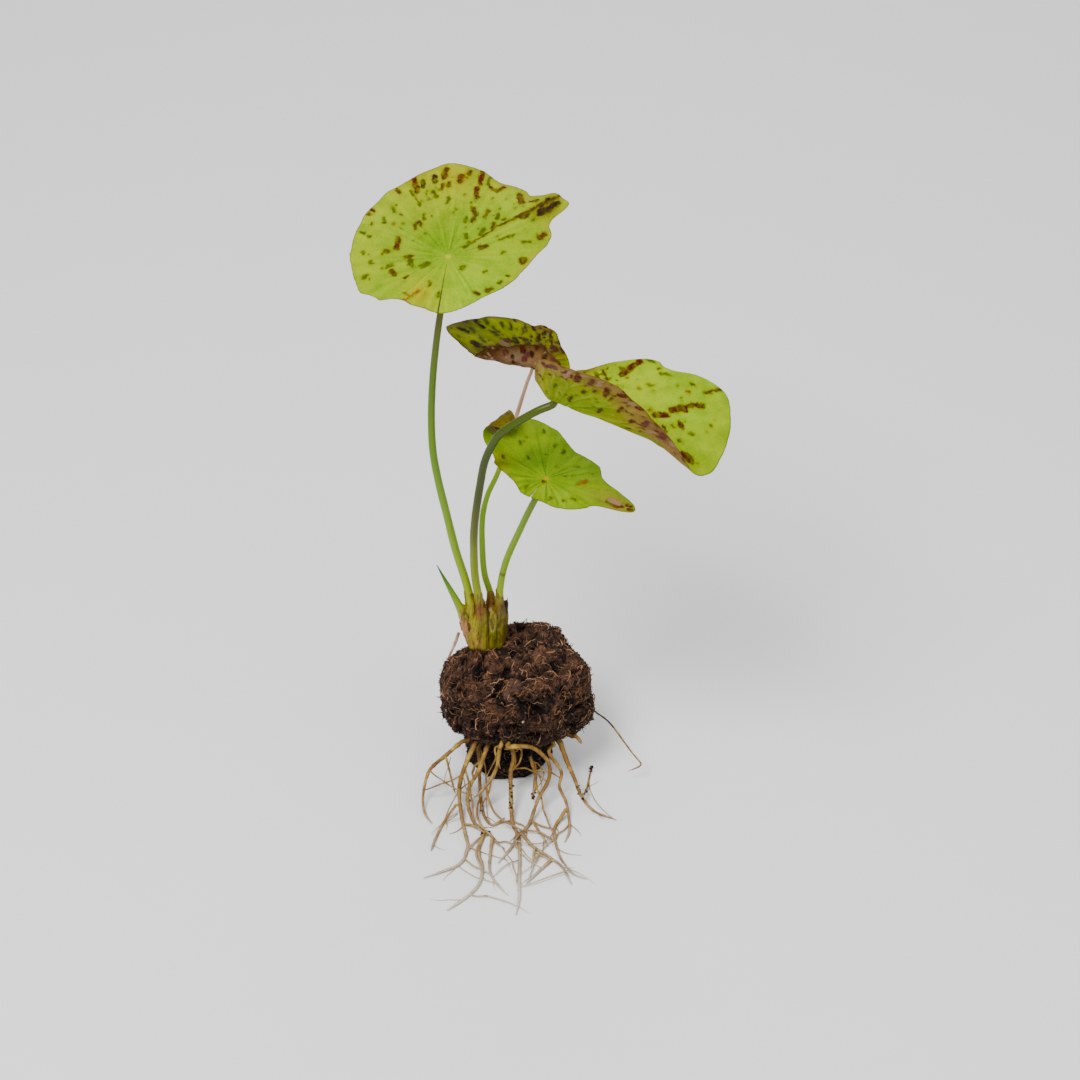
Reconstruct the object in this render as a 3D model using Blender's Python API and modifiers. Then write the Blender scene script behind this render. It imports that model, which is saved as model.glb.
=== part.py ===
"""A young tiger lotus lifted out of its pot: four blades on long stalks and a young shoot grow
from a short crown, which sits on a ball of dark peat. The ball stands on its narrower foot, and
the roots drop from the ball's lower edge and lie along the surface.

Metres, Z up. The origin is the centre of the ball's flat underside, and the front is -Y. Sizes
and places below are in millimetres, and MM turns them into metres.
"""
import math

import bmesh
import bpy
from mathutils import Vector, noise
from mathutils.bvhtree import BVHTree

MM = 0.001
GAP = 0.3
OBJECT_NAME = "tiger_lotus"

# The soil ball: half width, half depth and half height of its round part, the height of its
# middle, and the foot that it stands on.
BALL_HALF_SIZES = (25.2, 22.5, 15.5)
BALL_CENTRE = (0.8, 0.0, 28.5)
BALL_SQUARENESS = 2.5
BALL_LUMP_HEIGHT = 1.3
BALL_LUMP_LENGTH = 11.0
FOOT_HALF_SIZES = (14.5, 16.5, 13.0)
FOOT_CENTRE = (-1.6, 0.0, 7.8)
FOOT_SQUARENESS = 2.6
FOOT_LUMP_HEIGHT = 1.6
FOOT_LUMP_LENGTH = 7.0
# Bumps and hollows of the ball: the way each faces, its height and how wide it spreads.
BALL_SWELLS = (
    ((0.38, 0.60, 0.68), 2.8, 0.38),
    ((0.84, 0.42, 0.36), -2.8, 0.34),
    ((0.82, -0.30, -0.48), 2.2, 0.34),
    ((-0.05, 0.76, 0.65), 2.0, 0.25),
    ((-0.67, 0.61, 0.42), -2.6, 0.40),
    ((-0.95, -0.10, 0.10), 0.8, 0.40),
    ((0.80, -0.55, 0.20), -1.8, 0.22),
    ((0.28, -0.92, 0.27), -1.4, 0.16),
    ((-0.27, -0.69, 0.67), -1.4, 0.18),
    ((-0.05, -0.84, 0.55), 1.3, 0.22),
)

# The crown: a short stump, and on it a sheath round the foot of each stalk.
STUMP_MIDDLE = (-9.2, 4.3, 43.1)
STUMP_HALF_SIZES = (5.2, 4.3, 7.0)
STUMP_SQUARENESS = 3.0
SHEATH_WALL = 0.6
SHEATH_FOOT_RADIUS = 2.9
SHEATH_SIDES = 12
SOCKET_SIDES = 10
SOCKET_ROOM = 0.4

BLADE_THICKNESS = 0.6
WIDEST_COLUMN = 18.0

# Each blade is a flat round sheet with a cleft, bent and then set on its stalk's end.
# at: the stalk's end. heading, pitch and roll: degrees that the far end turns about Z, rises,
# and that the sheet turns about its length. outline: the margin's distance from the stalk by
# angle, from one side of the cleft round to the other. rings: shares of that distance at which
# the sheet is divided. waves: count, height and shift of the margin's waves. bends: the way a
# part rolls, how far its line lies from the stalk, the roll's radius, and degrees turned.
BLADES = {
    "upper_leaf": dict(
        at=(-19.0, 0.0, 196.7), heading=82, pitch=16, roll=0,
        outline=(
            (-179.3, 20.5), (-160, 19), (-140, 18.5), (-120, 19), (-100, 22), (-80, 26.5), (-69, 31.8),
            (-58.5, 34.5), (-54, 41), (-49, 41.5), (-44, 41), (-41, 37.5), (-35, 36), (-20, 34.5),
            (-8, 36.5), (8, 38.5), (22, 36), (40, 33.5), (60, 32), (80, 30), (115, 29), (124, 29),
            (132, 26.5), (145, 22), (160, 20.5), (179.3, 20.5)),
        rings=(0.12, 0.35, 0.6, 0.82, 1.0),
        waves=((5, 0.8, 40),),
        bends=((-143, 1, 8, -8),),
        colour=(0.36, 0.52, 0.05)),
    "lower_leaf": dict(
        at=(10.6, -10.0, 121.5), heading=60, pitch=4, roll=12,
        outline=(
            (-179, 10), (-150, 11), (-118, 14), (-100, 16.5), (-90, 19), (-82, 29), (-76, 29),
            (-68, 24), (-56, 19), (-30, 18.5), (-10, 17), (4, 17.5), (26, 23), (40, 26.5),
            (52, 26.5), (60, 30), (68, 34.5), (75, 35), (80, 33), (85, 25), (90, 20.5), (98, 17.8),
            (106, 16.5), (116, 14), (134, 10.5), (179, 10)),
        rings=(0.14, 0.36, 0.58, 0.7, 0.8, 0.9, 1.0),
        waves=((4, 0.4, 0),),
        bends=((80, 22.0, 3.3, 300),),
        colour=(0.26, 0.42, 0.03)),
    "folded_leaf": dict(
        at=(13.4, -14.0, 155.3), heading=-18, pitch=-15, roll=0,
        outline=(
            (-118, 14), (-110, 21), (-100, 28.5), (-90, 30), (-75, 32.5), (-60, 35.5), (-40, 36),
            (-25, 38.5), (-12, 45), (-5, 48), (0, 52), (10, 55.5), (22, 55.5), (30, 53),
            (36, 46), (41, 38), (50, 33), (58, 24), (70, 14), (90, 11), (120, 9.5), (140, 8)),
        rings=(0.12, 0.3, 0.52, 0.76, 1.0),
        waves=((6, 0.5, 20),),
        bends=((0, 32, 20, -18), (-90, 0, 5, 62), (90, 0, 14, 27)),
        colour=(0.40, 0.55, 0.04)),
    "twisted_leaf": dict(
        at=(6.5, 12.0, 149.8), heading=176, pitch=11, roll=0,
        outline=(
            (-170, 12), (-130, 13), (-115, 16), (-100, 19.5), (-80, 18.5), (-60, 21.5), (-45, 25),
            (-30, 28), (-18, 30), (-8, 25), (0, 21), (18, 20), (32, 21), (46, 20), (60, 18),
            (90, 17), (120, 15), (150, 11), (170, 8)),
        rings=(0.14, 0.34, 0.52, 0.68, 0.84, 1.0),
        waves=((5, 0.5, 60),),
        bends=((90, 8.2, 3, 90), (90, 0, 4, 30), (-90, 0, 14, 10)),
        colour=(0.20, 0.30, 0.03)),
}

# Each stalk runs from its crown end up to its blade: route, radius at both ends, and how far
# the sheath reaches up and down from its first point.
STALKS = {
    "upper_leaf": dict(
        route=((-12.8, 5.1, 50.2), (-15.2, 3.7, 68.2), (-18.6, 0.5, 85.6), (-21.1, -2.3, 101.8),
               (-23.6, -2.9, 116.3), (-25.0, -3.0, 128.1), (-25.2, -2.0, 140.3),
               (-24.5, -2.0, 153.5), (-23.3, -1.5, 165.4), (-21.8, -1.4, 176.7)),
        radii=(1.45, 1.0), sheath=(9.5, 9.0), colour=(0.22, 0.30, 0.03)),
    "folded_leaf": dict(
        route=((-9.2, 2.2, 50.7), (-12.2, 0.8, 71.8), (-12.6, -3.0, 88.3), (-12.0, -6.5, 102.9),
               (-9.8, -9.0, 120.8), (-8.5, -10.0, 128.4), (-6.5, -11.0, 134.5),
               (-3.7, -12.0, 140.1), (1.8, -13.0, 145.4), (8.0, -14.0, 150.2)),
        radii=(1.35, 1.25), sheath=(12.5, 10.0), colour=(0.07, 0.12, 0.02)),
    "twisted_leaf": dict(
        route=((-7.4, 6.1, 51.2), (-7.6, 6.6, 62.2), (-9.4, 7.7, 69.5), (-10.1, 9.0, 77.0),
               (-10.1, 11.2, 89.6), (-8.4, 14.7, 97.0), (-5.1, 17.0, 104.1), (-1.8, 18.5, 114.6),
               (1.3, 17.0, 127.4), (4.6, 13.4, 142.1)),
        radii=(1.2, 0.55), sheath=(9.0, 10.0), colour=(0.20, 0.30, 0.03)),
    "lower_leaf": dict(
        route=((-5.5, 3.1, 50.7), (-4.7, 2.8, 61.6), (-4.3, 2.3, 68.9), (-3.4, 1.2, 75.8),
               (-1.5, -1.4, 85.0), (2.3, -4.7, 97.6), (4.8, -6.9, 105.7), (7.6, -8.9, 113.6)),
        radii=(1.2, 1.05), sheath=(12.0, 9.0), colour=(0.18, 0.28, 0.03)),
}
STALK_POINT_STEP = 7.0
STALK_TOP_RUN = 2.4
SHOOT = dict(
    route=((-14.6, 2.1, 49.7), (-17.5, 2.2, 60.0), (-20.7, 1.4, 68.8), (-22.8, 0.4, 74.6),
           (-24.8, -0.8, 80.5)),
    radii=(1.35, 1.55, 1.1, 0.65, 0.12), sheath=(6.5, 7.5), colour=(0.14, 0.22, 0.03))
SIDE_ROOT = dict(
    route=((-18.3, 4.0, 48.4), (-19.2, 3.7, 45.4), (-20.6, 3.0, 41.8), (-22.3, 2.0, 38.4)),
    radii=(0.65, 0.5), colour=(0.62, 0.45, 0.36))

# Each root: its route, with 0 for a height on the surface, and its radius at both ends. Roots
# are laid in this order, each over the ones before it. A fork is a root of its own, whose
# first point is moved up against the root named last.
ROOTS = (
    ("root_left_arc", ((-15, -14, 19), (-19, -17, 17), (-23, -19, 14), (-28, -21, 9), (-30, -25, 0),
                       (-30, -31, 0), (-27, -37, 0)), (0.84, 0.4)),
    ("root_left_arc_fork", ((-22, -21.5, 12), (-20.5, -24, 2), (-19.5, -27, 0)), (0.44, 0.35),
     "root_left_arc"),
    ("root_left_long", ((-13, -16.5, 17.5), (-16, -20.5, 9), (-18, -24, 0), (-18, -30, 0),
                        (-16, -42, 0), (-15, -48, 0), (-17, -56, 0), (-23, -60, 0),
                        (-29, -63, 0)), (0.92, 0.4)),
    ("root_left_long_fork", ((-19, -31, 0), (-22.5, -35, 0), (-25, -42, 0), (-27, -50, 0)),
     (0.53, 0.44), "root_left_long"),
    ("root_left_inner", ((-9, -18, 17), (-11.5, -22.3, 8), (-15, -26, 0), (-15, -32, 0),
                         (-12, -38.5, 0), (-8, -42, 0), (-5.5, -46.5, 0), (-3, -49, 0)),
     (0.88, 0.48)),
    ("root_left_twin", ((-11.8, -14, 13.5), (-11.5, -17.3, 6), (-11.3, -24, 0), (-10, -33, 0),
                        (-7, -38, 0), (-3, -34, 0)), (0.7, 0.44)),
    ("root_front_left_long", ((-11, -42.8, 0), (-11.5, -51, 0), (-10, -58, 0), (-11, -66, 0),
                              (-15, -72, 0), (-21, -78, 0)), (0.7, 0.44), "root_left_inner"),
    ("root_front_left_short", ((-8.5, -45, 0), (-7.5, -51, 0), (-7.6, -60, 0), (-5, -66, 0),
                               (-1.5, -71, 0)), (0.62, 0.31), "root_left_inner"),
    ("root_centre_long", ((-0.5, -19.5, 19), (0, -20.5, 11.5), (-1, -22, 4), (-1, -26, 0),
                          (-0.5, -37, 0), (1.5, -43, 0), (2, -51, 0), (2, -66, 0), (2, -73, 0),
                          (1, -80, 0)), (0.88, 0.48)),
    ("root_cross_left", ((-4.3, -20.5, 22.5), (-5, -22.5, 14), (-6, -23.5, 5), (-9.5, -27.5, 0),
                         (-13, -30, 0)), (0.84, 0.53)),
    ("root_right_loop", ((-2.2, -20.5, 22.5), (4, -21.5, 21.5), (8, -22, 19), (11, -22.5, 13.5),
                         (12, -23, 6), (11.3, -25, 0), (8, -30, 0), (6, -35, 0), (3.5, -41, 0),
                         (-2, -51, 0), (-5, -56, 0)), (0.88, 0.44)),
    ("root_right_loop_twin", ((6, -20.2, 12), (7, -20.8, 6.5), (7.2, -23.5, 0), (6.2, -27, 0)),
     (0.62, 0.53)),
    ("root_front_right", ((4.6, -45, 0), (7, -49, 0), (12, -53.5, 0), (16, -58, 0), (19, -66, 0)),
     (0.66, 0.35), "root_right_loop"),
    ("root_front_right_fork", ((12, -54.5, 0), (7.5, -61, 0), (4.2, -65.5, 0)), (0.57, 0.35),
     "root_front_right"),
    ("root_front_right_spur", ((6.5, -50, 0), (6.0, -58, 0)), (0.44, 0.31), "root_front_right"),
    ("root_right_link", ((6.5, -36, 0), (9.5, -43, 0), (11.3, -48, 0)), (0.44, 0.4),
     "root_right_loop"),
    ("root_right_inner", ((13, -16.5, 18.5), (11.5, -19.5, 16), (14.5, -21.5, 10.5),
                          (16, -22.5, 5), (15, -25.5, 0), (17.5, -30, 0), (18.5, -40, 0),
                          (16.8, -46, 0)), (0.7, 0.44)),
    ("root_right_outer", ((15.5, -15.5, 17), (17.5, -18.5, 9), (20, -21, 0), (22, -26, 0),
                          (24, -28.5, 0), (28, -32, 0), (34, -35, 0)), (1.01, 0.31)),
    ("root_right_outer_fork", ((23.5, -27, 0), (25, -16, 0), (26, -9, 0)), (0.4, 0.31),
     "root_right_outer"),
    ("root_right_sweep", ((17, -32, 0), (13.5, -39, 0), (13.8, -46, 0), (15.2, -53, 0),
                          (18, -60, 0), (24, -63.5, 0)), (0.66, 0.31), "root_right_inner"),
    ("root_right_stub", ((18, -11.5, 20), (20.5, -14, 19.5), (22.5, -16, 16.5)), (0.66, 0.57)),
    ("root_far_right", ((25.5, -5, 22.5), (29, -6, 21), (32.5, -8, 18.5), (36.5, -10, 10),
                        (40, -12, 3), (43, -14.5, 0), (38.5, -14.5, 0)), (0.35, 0.3)),
    ("root_back_left", ((-12, 15.5, 17), (-15, 19, 10), (-16.5, 22, 0), (-19, 28, 0),
                        (-17, 35, 0)), (0.79, 0.4)),
    ("root_back_middle", ((-2, 19, 17), (-3, 22, 9), (-2.5, 24, 0), (1, 31, 0), (-2, 38, 0)),
     (0.84, 0.4)),
    ("root_back_right", ((10, 17, 17), (12.5, 20.5, 10), (13, 23, 0), (16.5, 28, 0), (15, 36, 0)),
     (0.75, 0.4)),
    ("root_back_right_fork", ((16, 28.5, 0), (20.5, 33.5, 0)), (0.44, 0.35), "root_back_right"),
)
ROOT_STEP = 1.0
ROOT_BEND_TOLERANCE = 0.16
ROOT_CLEARANCE = 0.55
ROOT_STEEPEST = 0.55
PUSHES = 4
ON_SURFACE_BELOW = 3.5
PASSED_UNDER_ABOVE = 6.5

COLOURS = {
    "soil_ball": (0.035, 0.022, 0.015),
    "crown": (0.22, 0.15, 0.06),
    "roots": (0.50, 0.33, 0.16),
}


def material(name, colour, roughness):
    """A plain finish of one colour."""
    made = bpy.data.materials.new(name)
    made.use_nodes = True
    shader = made.node_tree.nodes["Principled BSDF"]
    shader.inputs["Base Color"].default_value = (*colour, 1.0)
    shader.inputs["Roughness"].default_value = roughness
    shader.inputs["Metallic"].default_value = 0.0
    return made


def add_object(name, data, collection, finish=None):
    """Puts a mesh or a curve in the scene."""
    made = bpy.data.objects.new(name, data)
    collection.objects.link(made)
    if finish:
        data.materials.append(finish)
    return made


def mesh_from(bm, name):
    """Turns a bmesh in millimetres into a smooth-shaded mesh in metres."""
    bmesh.ops.scale(bm, vec=(MM, MM, MM), verts=bm.verts)
    bmesh.ops.recalc_face_normals(bm, faces=bm.faces)
    mesh = bpy.data.meshes.new(name)
    bm.to_mesh(mesh)
    bm.free()
    mesh.shade_smooth()
    return mesh


def combine(target, other, operation):
    """Joins another closed shape to the target, or takes it out."""
    other.hide_render = True
    other.display_type = "WIRE"
    boolean = target.modifiers.new(operation.lower() + " " + other.name, "BOOLEAN")
    boolean.operation = operation
    boolean.solver = "EXACT"
    boolean.object = other


def join(target, other):
    combine(target, other, "UNION")


def cut(target, other):
    combine(target, other, "DIFFERENCE")


def evaluated_tree(thing):
    """A search tree of an object's surface, in millimetres."""
    bpy.context.view_layer.update()
    graph = bpy.context.evaluated_depsgraph_get()
    bm = bmesh.new()
    bm.from_object(thing, graph)
    bmesh.ops.scale(bm, vec=(1 / MM, 1 / MM, 1 / MM), verts=bm.verts)
    tree = BVHTree.FromBMesh(bm)
    bm.free()
    return tree


# Smooth routes

def smooth_route(points, step):
    """Points every step or so along a smooth curve through the given ones."""
    points = [Vector(p) for p in points]
    padded = [2 * points[0] - points[1], *points, 2 * points[-1] - points[-2]]
    route = []
    for before, start, end, after in zip(padded, padded[1:], padded[2:], padded[3:]):
        count = max(1, round((end - start).length / step))
        for i in range(count):
            t = i / count
            route.append(0.5 * (
                2 * start + (end - before) * t
                + (2 * before - 5 * start + 4 * end - after) * t * t
                + (3 * start - before - 3 * end + after) * t ** 3))
    route.append(points[-1])
    return route


def spread(values, share):
    """A value from an evenly spaced list, share of the way along it."""
    place = share * (len(values) - 1)
    i = min(int(place), len(values) - 2)
    return values[i] + (values[i + 1] - values[i]) * (place - i)


def shares_along(route):
    """How far along a route each of its points lies, from 0 to 1."""
    lengths = [0.0]
    for a, b in zip(route, route[1:]):
        lengths.append(lengths[-1] + (b - a).length)
    return [length / lengths[-1] for length in lengths]


def thinned(route, radii, tolerance):
    """Leaves out the points that a straight run between the others passes close to."""
    def keep(first, last):
        run = route[last] - route[first]
        worst, where = 0.0, None
        for i in range(first + 1, last):
            off = route[i] - route[first]
            along = max(0.0, min(1.0, off.dot(run) / run.length_squared))
            distance = (off - run * along).length
            if distance > worst:
                worst, where = distance, i
        if worst <= tolerance:
            return [first]
        return keep(first, where) + keep(where, last)
    kept = keep(0, len(route) - 1) + [len(route) - 1]
    return [route[i] for i in kept], [radii[i] for i in kept]


def tube(name, route, radii, collection, finish, roundness):
    """A round strand along a route, its radius given at each point, with closed ends."""
    curve = bpy.data.curves.new(name, "CURVE")
    curve.dimensions = "3D"
    curve.bevel_depth = MM
    curve.bevel_resolution = roundness
    curve.use_fill_caps = True
    curve.render_resolution_u = 0
    spline = curve.splines.new("POLY")
    spline.points.add(len(route) - 1)
    for point, place, radius in zip(spline.points, route, radii):
        point.co = (*(place * MM), 1.0)
        point.radius = radius
    return add_object(name, curve, collection, finish)


# The soil ball and the crown

def squared_radius(direction, half_sizes, squareness):
    """Distance from the middle to the surface of a ball that is a little square, one way."""
    total = sum((abs(c) / half) ** squareness for c, half in zip(direction, half_sizes))
    return total ** (-1 / squareness)


def ball_radius(direction):
    """Distance from the ball's middle to its surface, one way."""
    radius = squared_radius(direction, BALL_HALF_SIZES, BALL_SQUARENESS)
    for way, height, width in BALL_SWELLS:
        off = (direction - Vector(way).normalized()).length
        radius += height * math.exp(-(off / width) ** 2)
    place = direction * (radius / BALL_LUMP_LENGTH)
    return radius + BALL_LUMP_HEIGHT * noise.noise(place)


def make_soil_ball(parts, cutters):
    """The round lump of peat joined to its narrower foot, which is flat below."""
    bm = bmesh.new()
    bmesh.ops.create_icosphere(bm, subdivisions=4, radius=1.0)
    for vertex in bm.verts:
        way = vertex.co.normalized()
        vertex.co = Vector(BALL_CENTRE) + way * ball_radius(way)
    ball = add_object("soil_ball", mesh_from(bm, "soil_ball"), parts,
                      material("peat", COLOURS["soil_ball"], 0.95))
    join(ball, add_object("foot_shape", foot_mesh("foot_shape"), cutters))
    return ball


def foot_mesh(name):
    """The lumpy foot of the ball, cut flat where it stands."""
    bm = bmesh.new()
    bmesh.ops.create_icosphere(bm, subdivisions=3, radius=1.0)
    for vertex in bm.verts:
        way = vertex.co.normalized()
        radius = squared_radius(way, FOOT_HALF_SIZES, FOOT_SQUARENESS)
        lump = noise.noise(way * (radius / FOOT_LUMP_LENGTH))
        vertex.co = Vector(FOOT_CENTRE) + way * (radius + lump * FOOT_LUMP_HEIGHT)
    bmesh.ops.bisect_plane(
        bm, geom=bm.verts[:] + bm.edges[:] + bm.faces[:], plane_co=(0, 0, 0),
        plane_no=(0, 0, -1), clear_outer=True)
    bmesh.ops.holes_fill(bm, edges=bm.edges)
    return mesh_from(bm, name)


def round_stump(name, grow):
    """The rounded foot of the crown, or the same shape grown for its socket."""
    bm = bmesh.new()
    bmesh.ops.create_uvsphere(bm, u_segments=18, v_segments=10, radius=1.0)
    halves = [half + grow for half in STUMP_HALF_SIZES]
    for vertex in bm.verts:
        way = vertex.co.normalized()
        vertex.co = Vector(STUMP_MIDDLE) + way * squared_radius(way, halves, STUMP_SQUARENESS)
    return mesh_from(bm, name)


def sleeve(name, low, high, low_radius, high_radius, sides):
    """A closed round peg between two places."""
    bm = bmesh.new()
    bmesh.ops.create_cone(bm, cap_ends=True, segments=sides, radius1=low_radius,
                          radius2=high_radius, depth=(high - low).length)
    turn = Vector((0, 0, 1)).rotation_difference(high - low).to_matrix()
    for vertex in bm.verts:
        vertex.co = turn @ vertex.co + (low + high) / 2
    return mesh_from(bm, name)


def make_crown(parts, cutters, ball):
    """The crown: its foot sits in a socket of the ball, and a sheath holds each stalk."""
    crown = add_object("crown", round_stump("crown", 0.0), parts,
                       material("sheath", COLOURS["crown"], 0.6))
    cut(ball, add_object("crown_socket", round_stump("crown_socket", GAP), cutters))
    held = dict(STALKS, young_shoot=SHOOT)
    for name, stalk in held.items():
        foot, above = (Vector(p) for p in stalk["route"][:2])
        way = (above - foot).normalized()
        up, down = stalk["sheath"]
        wide = stalk["radii"][0] + SOCKET_ROOM + SHEATH_WALL
        sheath = sleeve(name + "_sheath", foot - way * down, foot + way * up,
                        SHEATH_FOOT_RADIUS, wide, SHEATH_SIDES)
        join(crown, add_object(name + "_sheath", sheath, cutters))
        room = sleeve(name + "_sheath_room", foot - way * (down + GAP), foot + way * up,
                      SHEATH_FOOT_RADIUS + GAP, wide + GAP, SHEATH_SIDES)
        cut(ball, add_object(name + "_sheath_room", room, cutters))
    for name, stalk in held.items():
        foot, above = (Vector(p) for p in stalk["route"][:2])
        way = (above - foot).normalized()
        room = stalk["radii"][0] + SOCKET_ROOM
        hole = sleeve(name + "_socket", foot - way * GAP, foot + way * (stalk["sheath"][0] + 3),
                      room, room, SOCKET_SIDES)
        cut(crown, add_object(name + "_socket", hole, cutters))
    return crown


# The blades and stalks

def margin_radius(outline, angle):
    """The margin's distance from the stalk at an angle, on a smooth curve through the outline."""
    angles = [a for a, _ in outline]
    radii = [r for _, r in outline]
    last = len(outline) - 1
    i = max(k for k in range(last) if angles[k] <= angle or k == 0)

    def slope(k):
        low, high = max(k - 1, 0), min(k + 1, last)
        return (radii[high] - radii[low]) / (angles[high] - angles[low])
    gap = angles[i + 1] - angles[i]
    t = (angle - angles[i]) / gap
    return ((2 * t ** 3 - 3 * t ** 2 + 1) * radii[i]
            + (t ** 3 - 2 * t ** 2 + t) * gap * slope(i)
            + (3 * t ** 2 - 2 * t ** 3) * radii[i + 1]
            + (t ** 3 - t ** 2) * gap * slope(i + 1))


def bent(point, heading, start, radius, turn):
    """Rolls the sheet up past a line, or down where the turn is negative."""
    along = Vector((math.cos(math.radians(heading)), math.sin(math.radians(heading)), 0))
    past = point.dot(along) - start
    if past <= 0:
        return point
    sign = math.copysign(1, turn)
    part = min(past / radius, math.radians(abs(turn)))
    rest = past - part * radius
    inner = radius - sign * point.z
    moved = inner * math.sin(part) + rest * math.cos(part)
    height = sign * (radius - inner * math.cos(part) + rest * math.sin(part))
    out = point + along * (moved - past)
    out.z = height
    return out


def blade_point(blade, angle, share):
    """A point of the bent sheet, before it is set on its stalk."""
    reach = margin_radius(blade["outline"], angle) * share
    around = math.radians(angle)
    height = sum(size * share ** 3 * math.sin(count * around + math.radians(shift))
                 for count, size, shift in blade["waves"])
    point = Vector((reach * math.cos(around), reach * math.sin(around), height))
    for bend in blade["bends"]:
        point = bent(point, *bend)
    return point


def turned(blade, point):
    """Rolls a point about the blade's length, pitches it and turns it to its heading."""
    x, y, z = point
    roll = math.radians(blade["roll"])
    y, z = y * math.cos(roll) - z * math.sin(roll), y * math.sin(roll) + z * math.cos(roll)
    pitch = math.radians(blade["pitch"])
    x, z = x * math.cos(pitch) - z * math.sin(pitch), x * math.sin(pitch) + z * math.cos(pitch)
    heading = math.radians(blade["heading"])
    x, y = x * math.cos(heading) - y * math.sin(heading), x * math.sin(heading) + y * math.cos(heading)
    return Vector((x, y, z))


def column_angles(outline):
    """The angles of the blade's columns: the outline's own, with wide gaps divided."""
    angles = []
    for (start, _), (end, _) in zip(outline, outline[1:]):
        count = math.ceil((end - start) / WIDEST_COLUMN)
        angles += [start + (end - start) * i / count for i in range(count)]
    return [*angles, outline[-1][0]]


def make_blade(name, blade, parts):
    """A thin closed sheet: a strip wrapped round the stalk's end, which leaves the cleft open."""
    rings = (0.0, *blade["rings"])
    angles = column_angles(blade["outline"])
    columns, rows = len(angles) - 1, len(rings) - 1
    bm = bmesh.new()
    bmesh.ops.create_grid(bm, x_segments=columns, y_segments=rows, size=0.5)
    for vertex in bm.verts:
        angle = angles[round((vertex.co.x + 0.5) * columns)]
        share = rings[round((vertex.co.y + 0.5) * rows)]
        vertex.co = Vector(blade["at"]) + turned(blade, blade_point(blade, angle, share))
    bmesh.ops.remove_doubles(bm, verts=bm.verts, dist=0.001)
    made = add_object(name, mesh_from(bm, name), parts,
                      material(name + "_green", blade["colour"], 0.4))
    sheet = made.modifiers.new("thickness", "SOLIDIFY")
    sheet.thickness = BLADE_THICKNESS * MM
    sheet.offset = 0.0
    return made


def stalk_end(blade):
    """Where a stalk stops under its blade, and the way that it comes up to it."""
    way = turned(blade, Vector((0, 0, 1)))
    below = BLADE_THICKNESS / 2 + GAP
    return Vector(blade["at"]) - way * below, way


def make_stalk(name, stalk, blade, parts):
    """A tapering stalk from a socket in the crown to just under its blade."""
    end, way = stalk_end(blade)
    ends = (end - way * STALK_TOP_RUN, end)
    route = smooth_route((*stalk["route"], *ends), STALK_POINT_STEP)
    radii = [spread(stalk["radii"], share) for share in shares_along(route)]
    tube(name + "_stalk", route, radii, parts,
         material(name + "_stalk_green", stalk["colour"], 0.45), 2)


# The roots

def pushed_clear(point, distance, tree):
    """Moves a point out of a solid until it is the given distance from it. In a crease the first
    push can end too near the other side, so it is tried again from there."""
    for _ in range(PUSHES):
        near, normal, _, _ = tree.find_nearest(point)
        away = point - near
        outside = away.dot(normal) > -away.length / 2
        if outside and away.length >= distance:
            break
        point = near + normal * distance
    return point


def lifted(route, radii, laid):
    """Raises the parts of a root that lie on the surface over the roots laid before it, unless
    those hang high enough to pass under."""
    heights = [max(point.z, radius) for point, radius in zip(route, radii)]
    for i, (point, radius) in enumerate(zip(route, radii)):
        if point.z > ON_SURFACE_BELOW:
            continue
        for other, other_radius, clearance in laid:
            flat = math.hypot(point.x - other.x, point.y - other.y)
            need = radius + other_radius + clearance
            if flat < need and other.z < PASSED_UNDER_ABOVE:
                heights[i] = max(heights[i], other.z + math.sqrt(need ** 2 - flat ** 2))
    for order in (range(1, len(route)), range(len(route) - 2, -1, -1)):
        step = order.step
        for i in order:
            neighbour = i - step
            run = (route[i] - route[neighbour]).length
            heights[i] = max(heights[i], heights[neighbour] - run * ROOT_STEEPEST)
    return [Vector((point.x, point.y, height)) for point, height in zip(route, heights)]


def moved_apart(route, radii, laid):
    """Moves the hanging parts of a root away from the roots laid before it."""
    out = []
    for point, radius in zip(route, radii):
        for other, other_radius, clearance in laid:
            away = point - other
            need = radius + other_radius + clearance
            if point.z > ON_SURFACE_BELOW and 0 < away.length < need:
                point = other + away.normalized() * need
        out.append(point)
    return out


def against(points, radius, parent):
    """A fork's points, the first one moved up against the root that it leaves."""
    first, second = (Vector(p) for p in points[:2])
    near, near_radius = min(parent, key=lambda sample: (sample[0].xy - first.xy).length)
    away = second - near
    away.z = 0
    start = near + away.normalized() * (near_radius + radius + GAP)
    return (start, *points[1:])


def make_roots(parts, ball_tree):
    """All the roots, each clear of the ball and of the roots under it."""
    finish = material("root", COLOURS["roots"], 0.6)
    laid = {}
    for name, points, ends, *parents in ROOTS:
        for parent in parents:
            points = against(points, ends[0], laid[parent])
        route = smooth_route(points, ROOT_STEP)
        radii = [spread(ends, share) for share in shares_along(route)]
        others = [(*sample, GAP if other in parents else ROOT_CLEARANCE)
                  for other, samples in laid.items() for sample in samples]
        route = moved_apart(route, radii, others)
        route = [pushed_clear(point, radius + GAP, ball_tree)
                 for point, radius in zip(route, radii)]
        route = lifted(route, radii, others)
        laid[name] = list(zip(route, radii))
        route, radii = thinned(route, radii, ROOT_BEND_TOLERANCE)
        tube(name, route, radii, parts, finish, 1)


def make_side_root(parts, crown_tree, ball_tree):
    """The pale root that leaves the crown and lies on the ball."""
    route = smooth_route(SIDE_ROOT["route"], 2.5)
    radii = [spread(SIDE_ROOT["radii"], share) for share in shares_along(route)]
    for tree in (crown_tree, ball_tree):
        route = [pushed_clear(point, radius + GAP, tree) for point, radius in zip(route, radii)]
    tube("side_root", route, radii, parts, material("pale_root", SIDE_ROOT["colour"], 0.6), 2)


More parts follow.
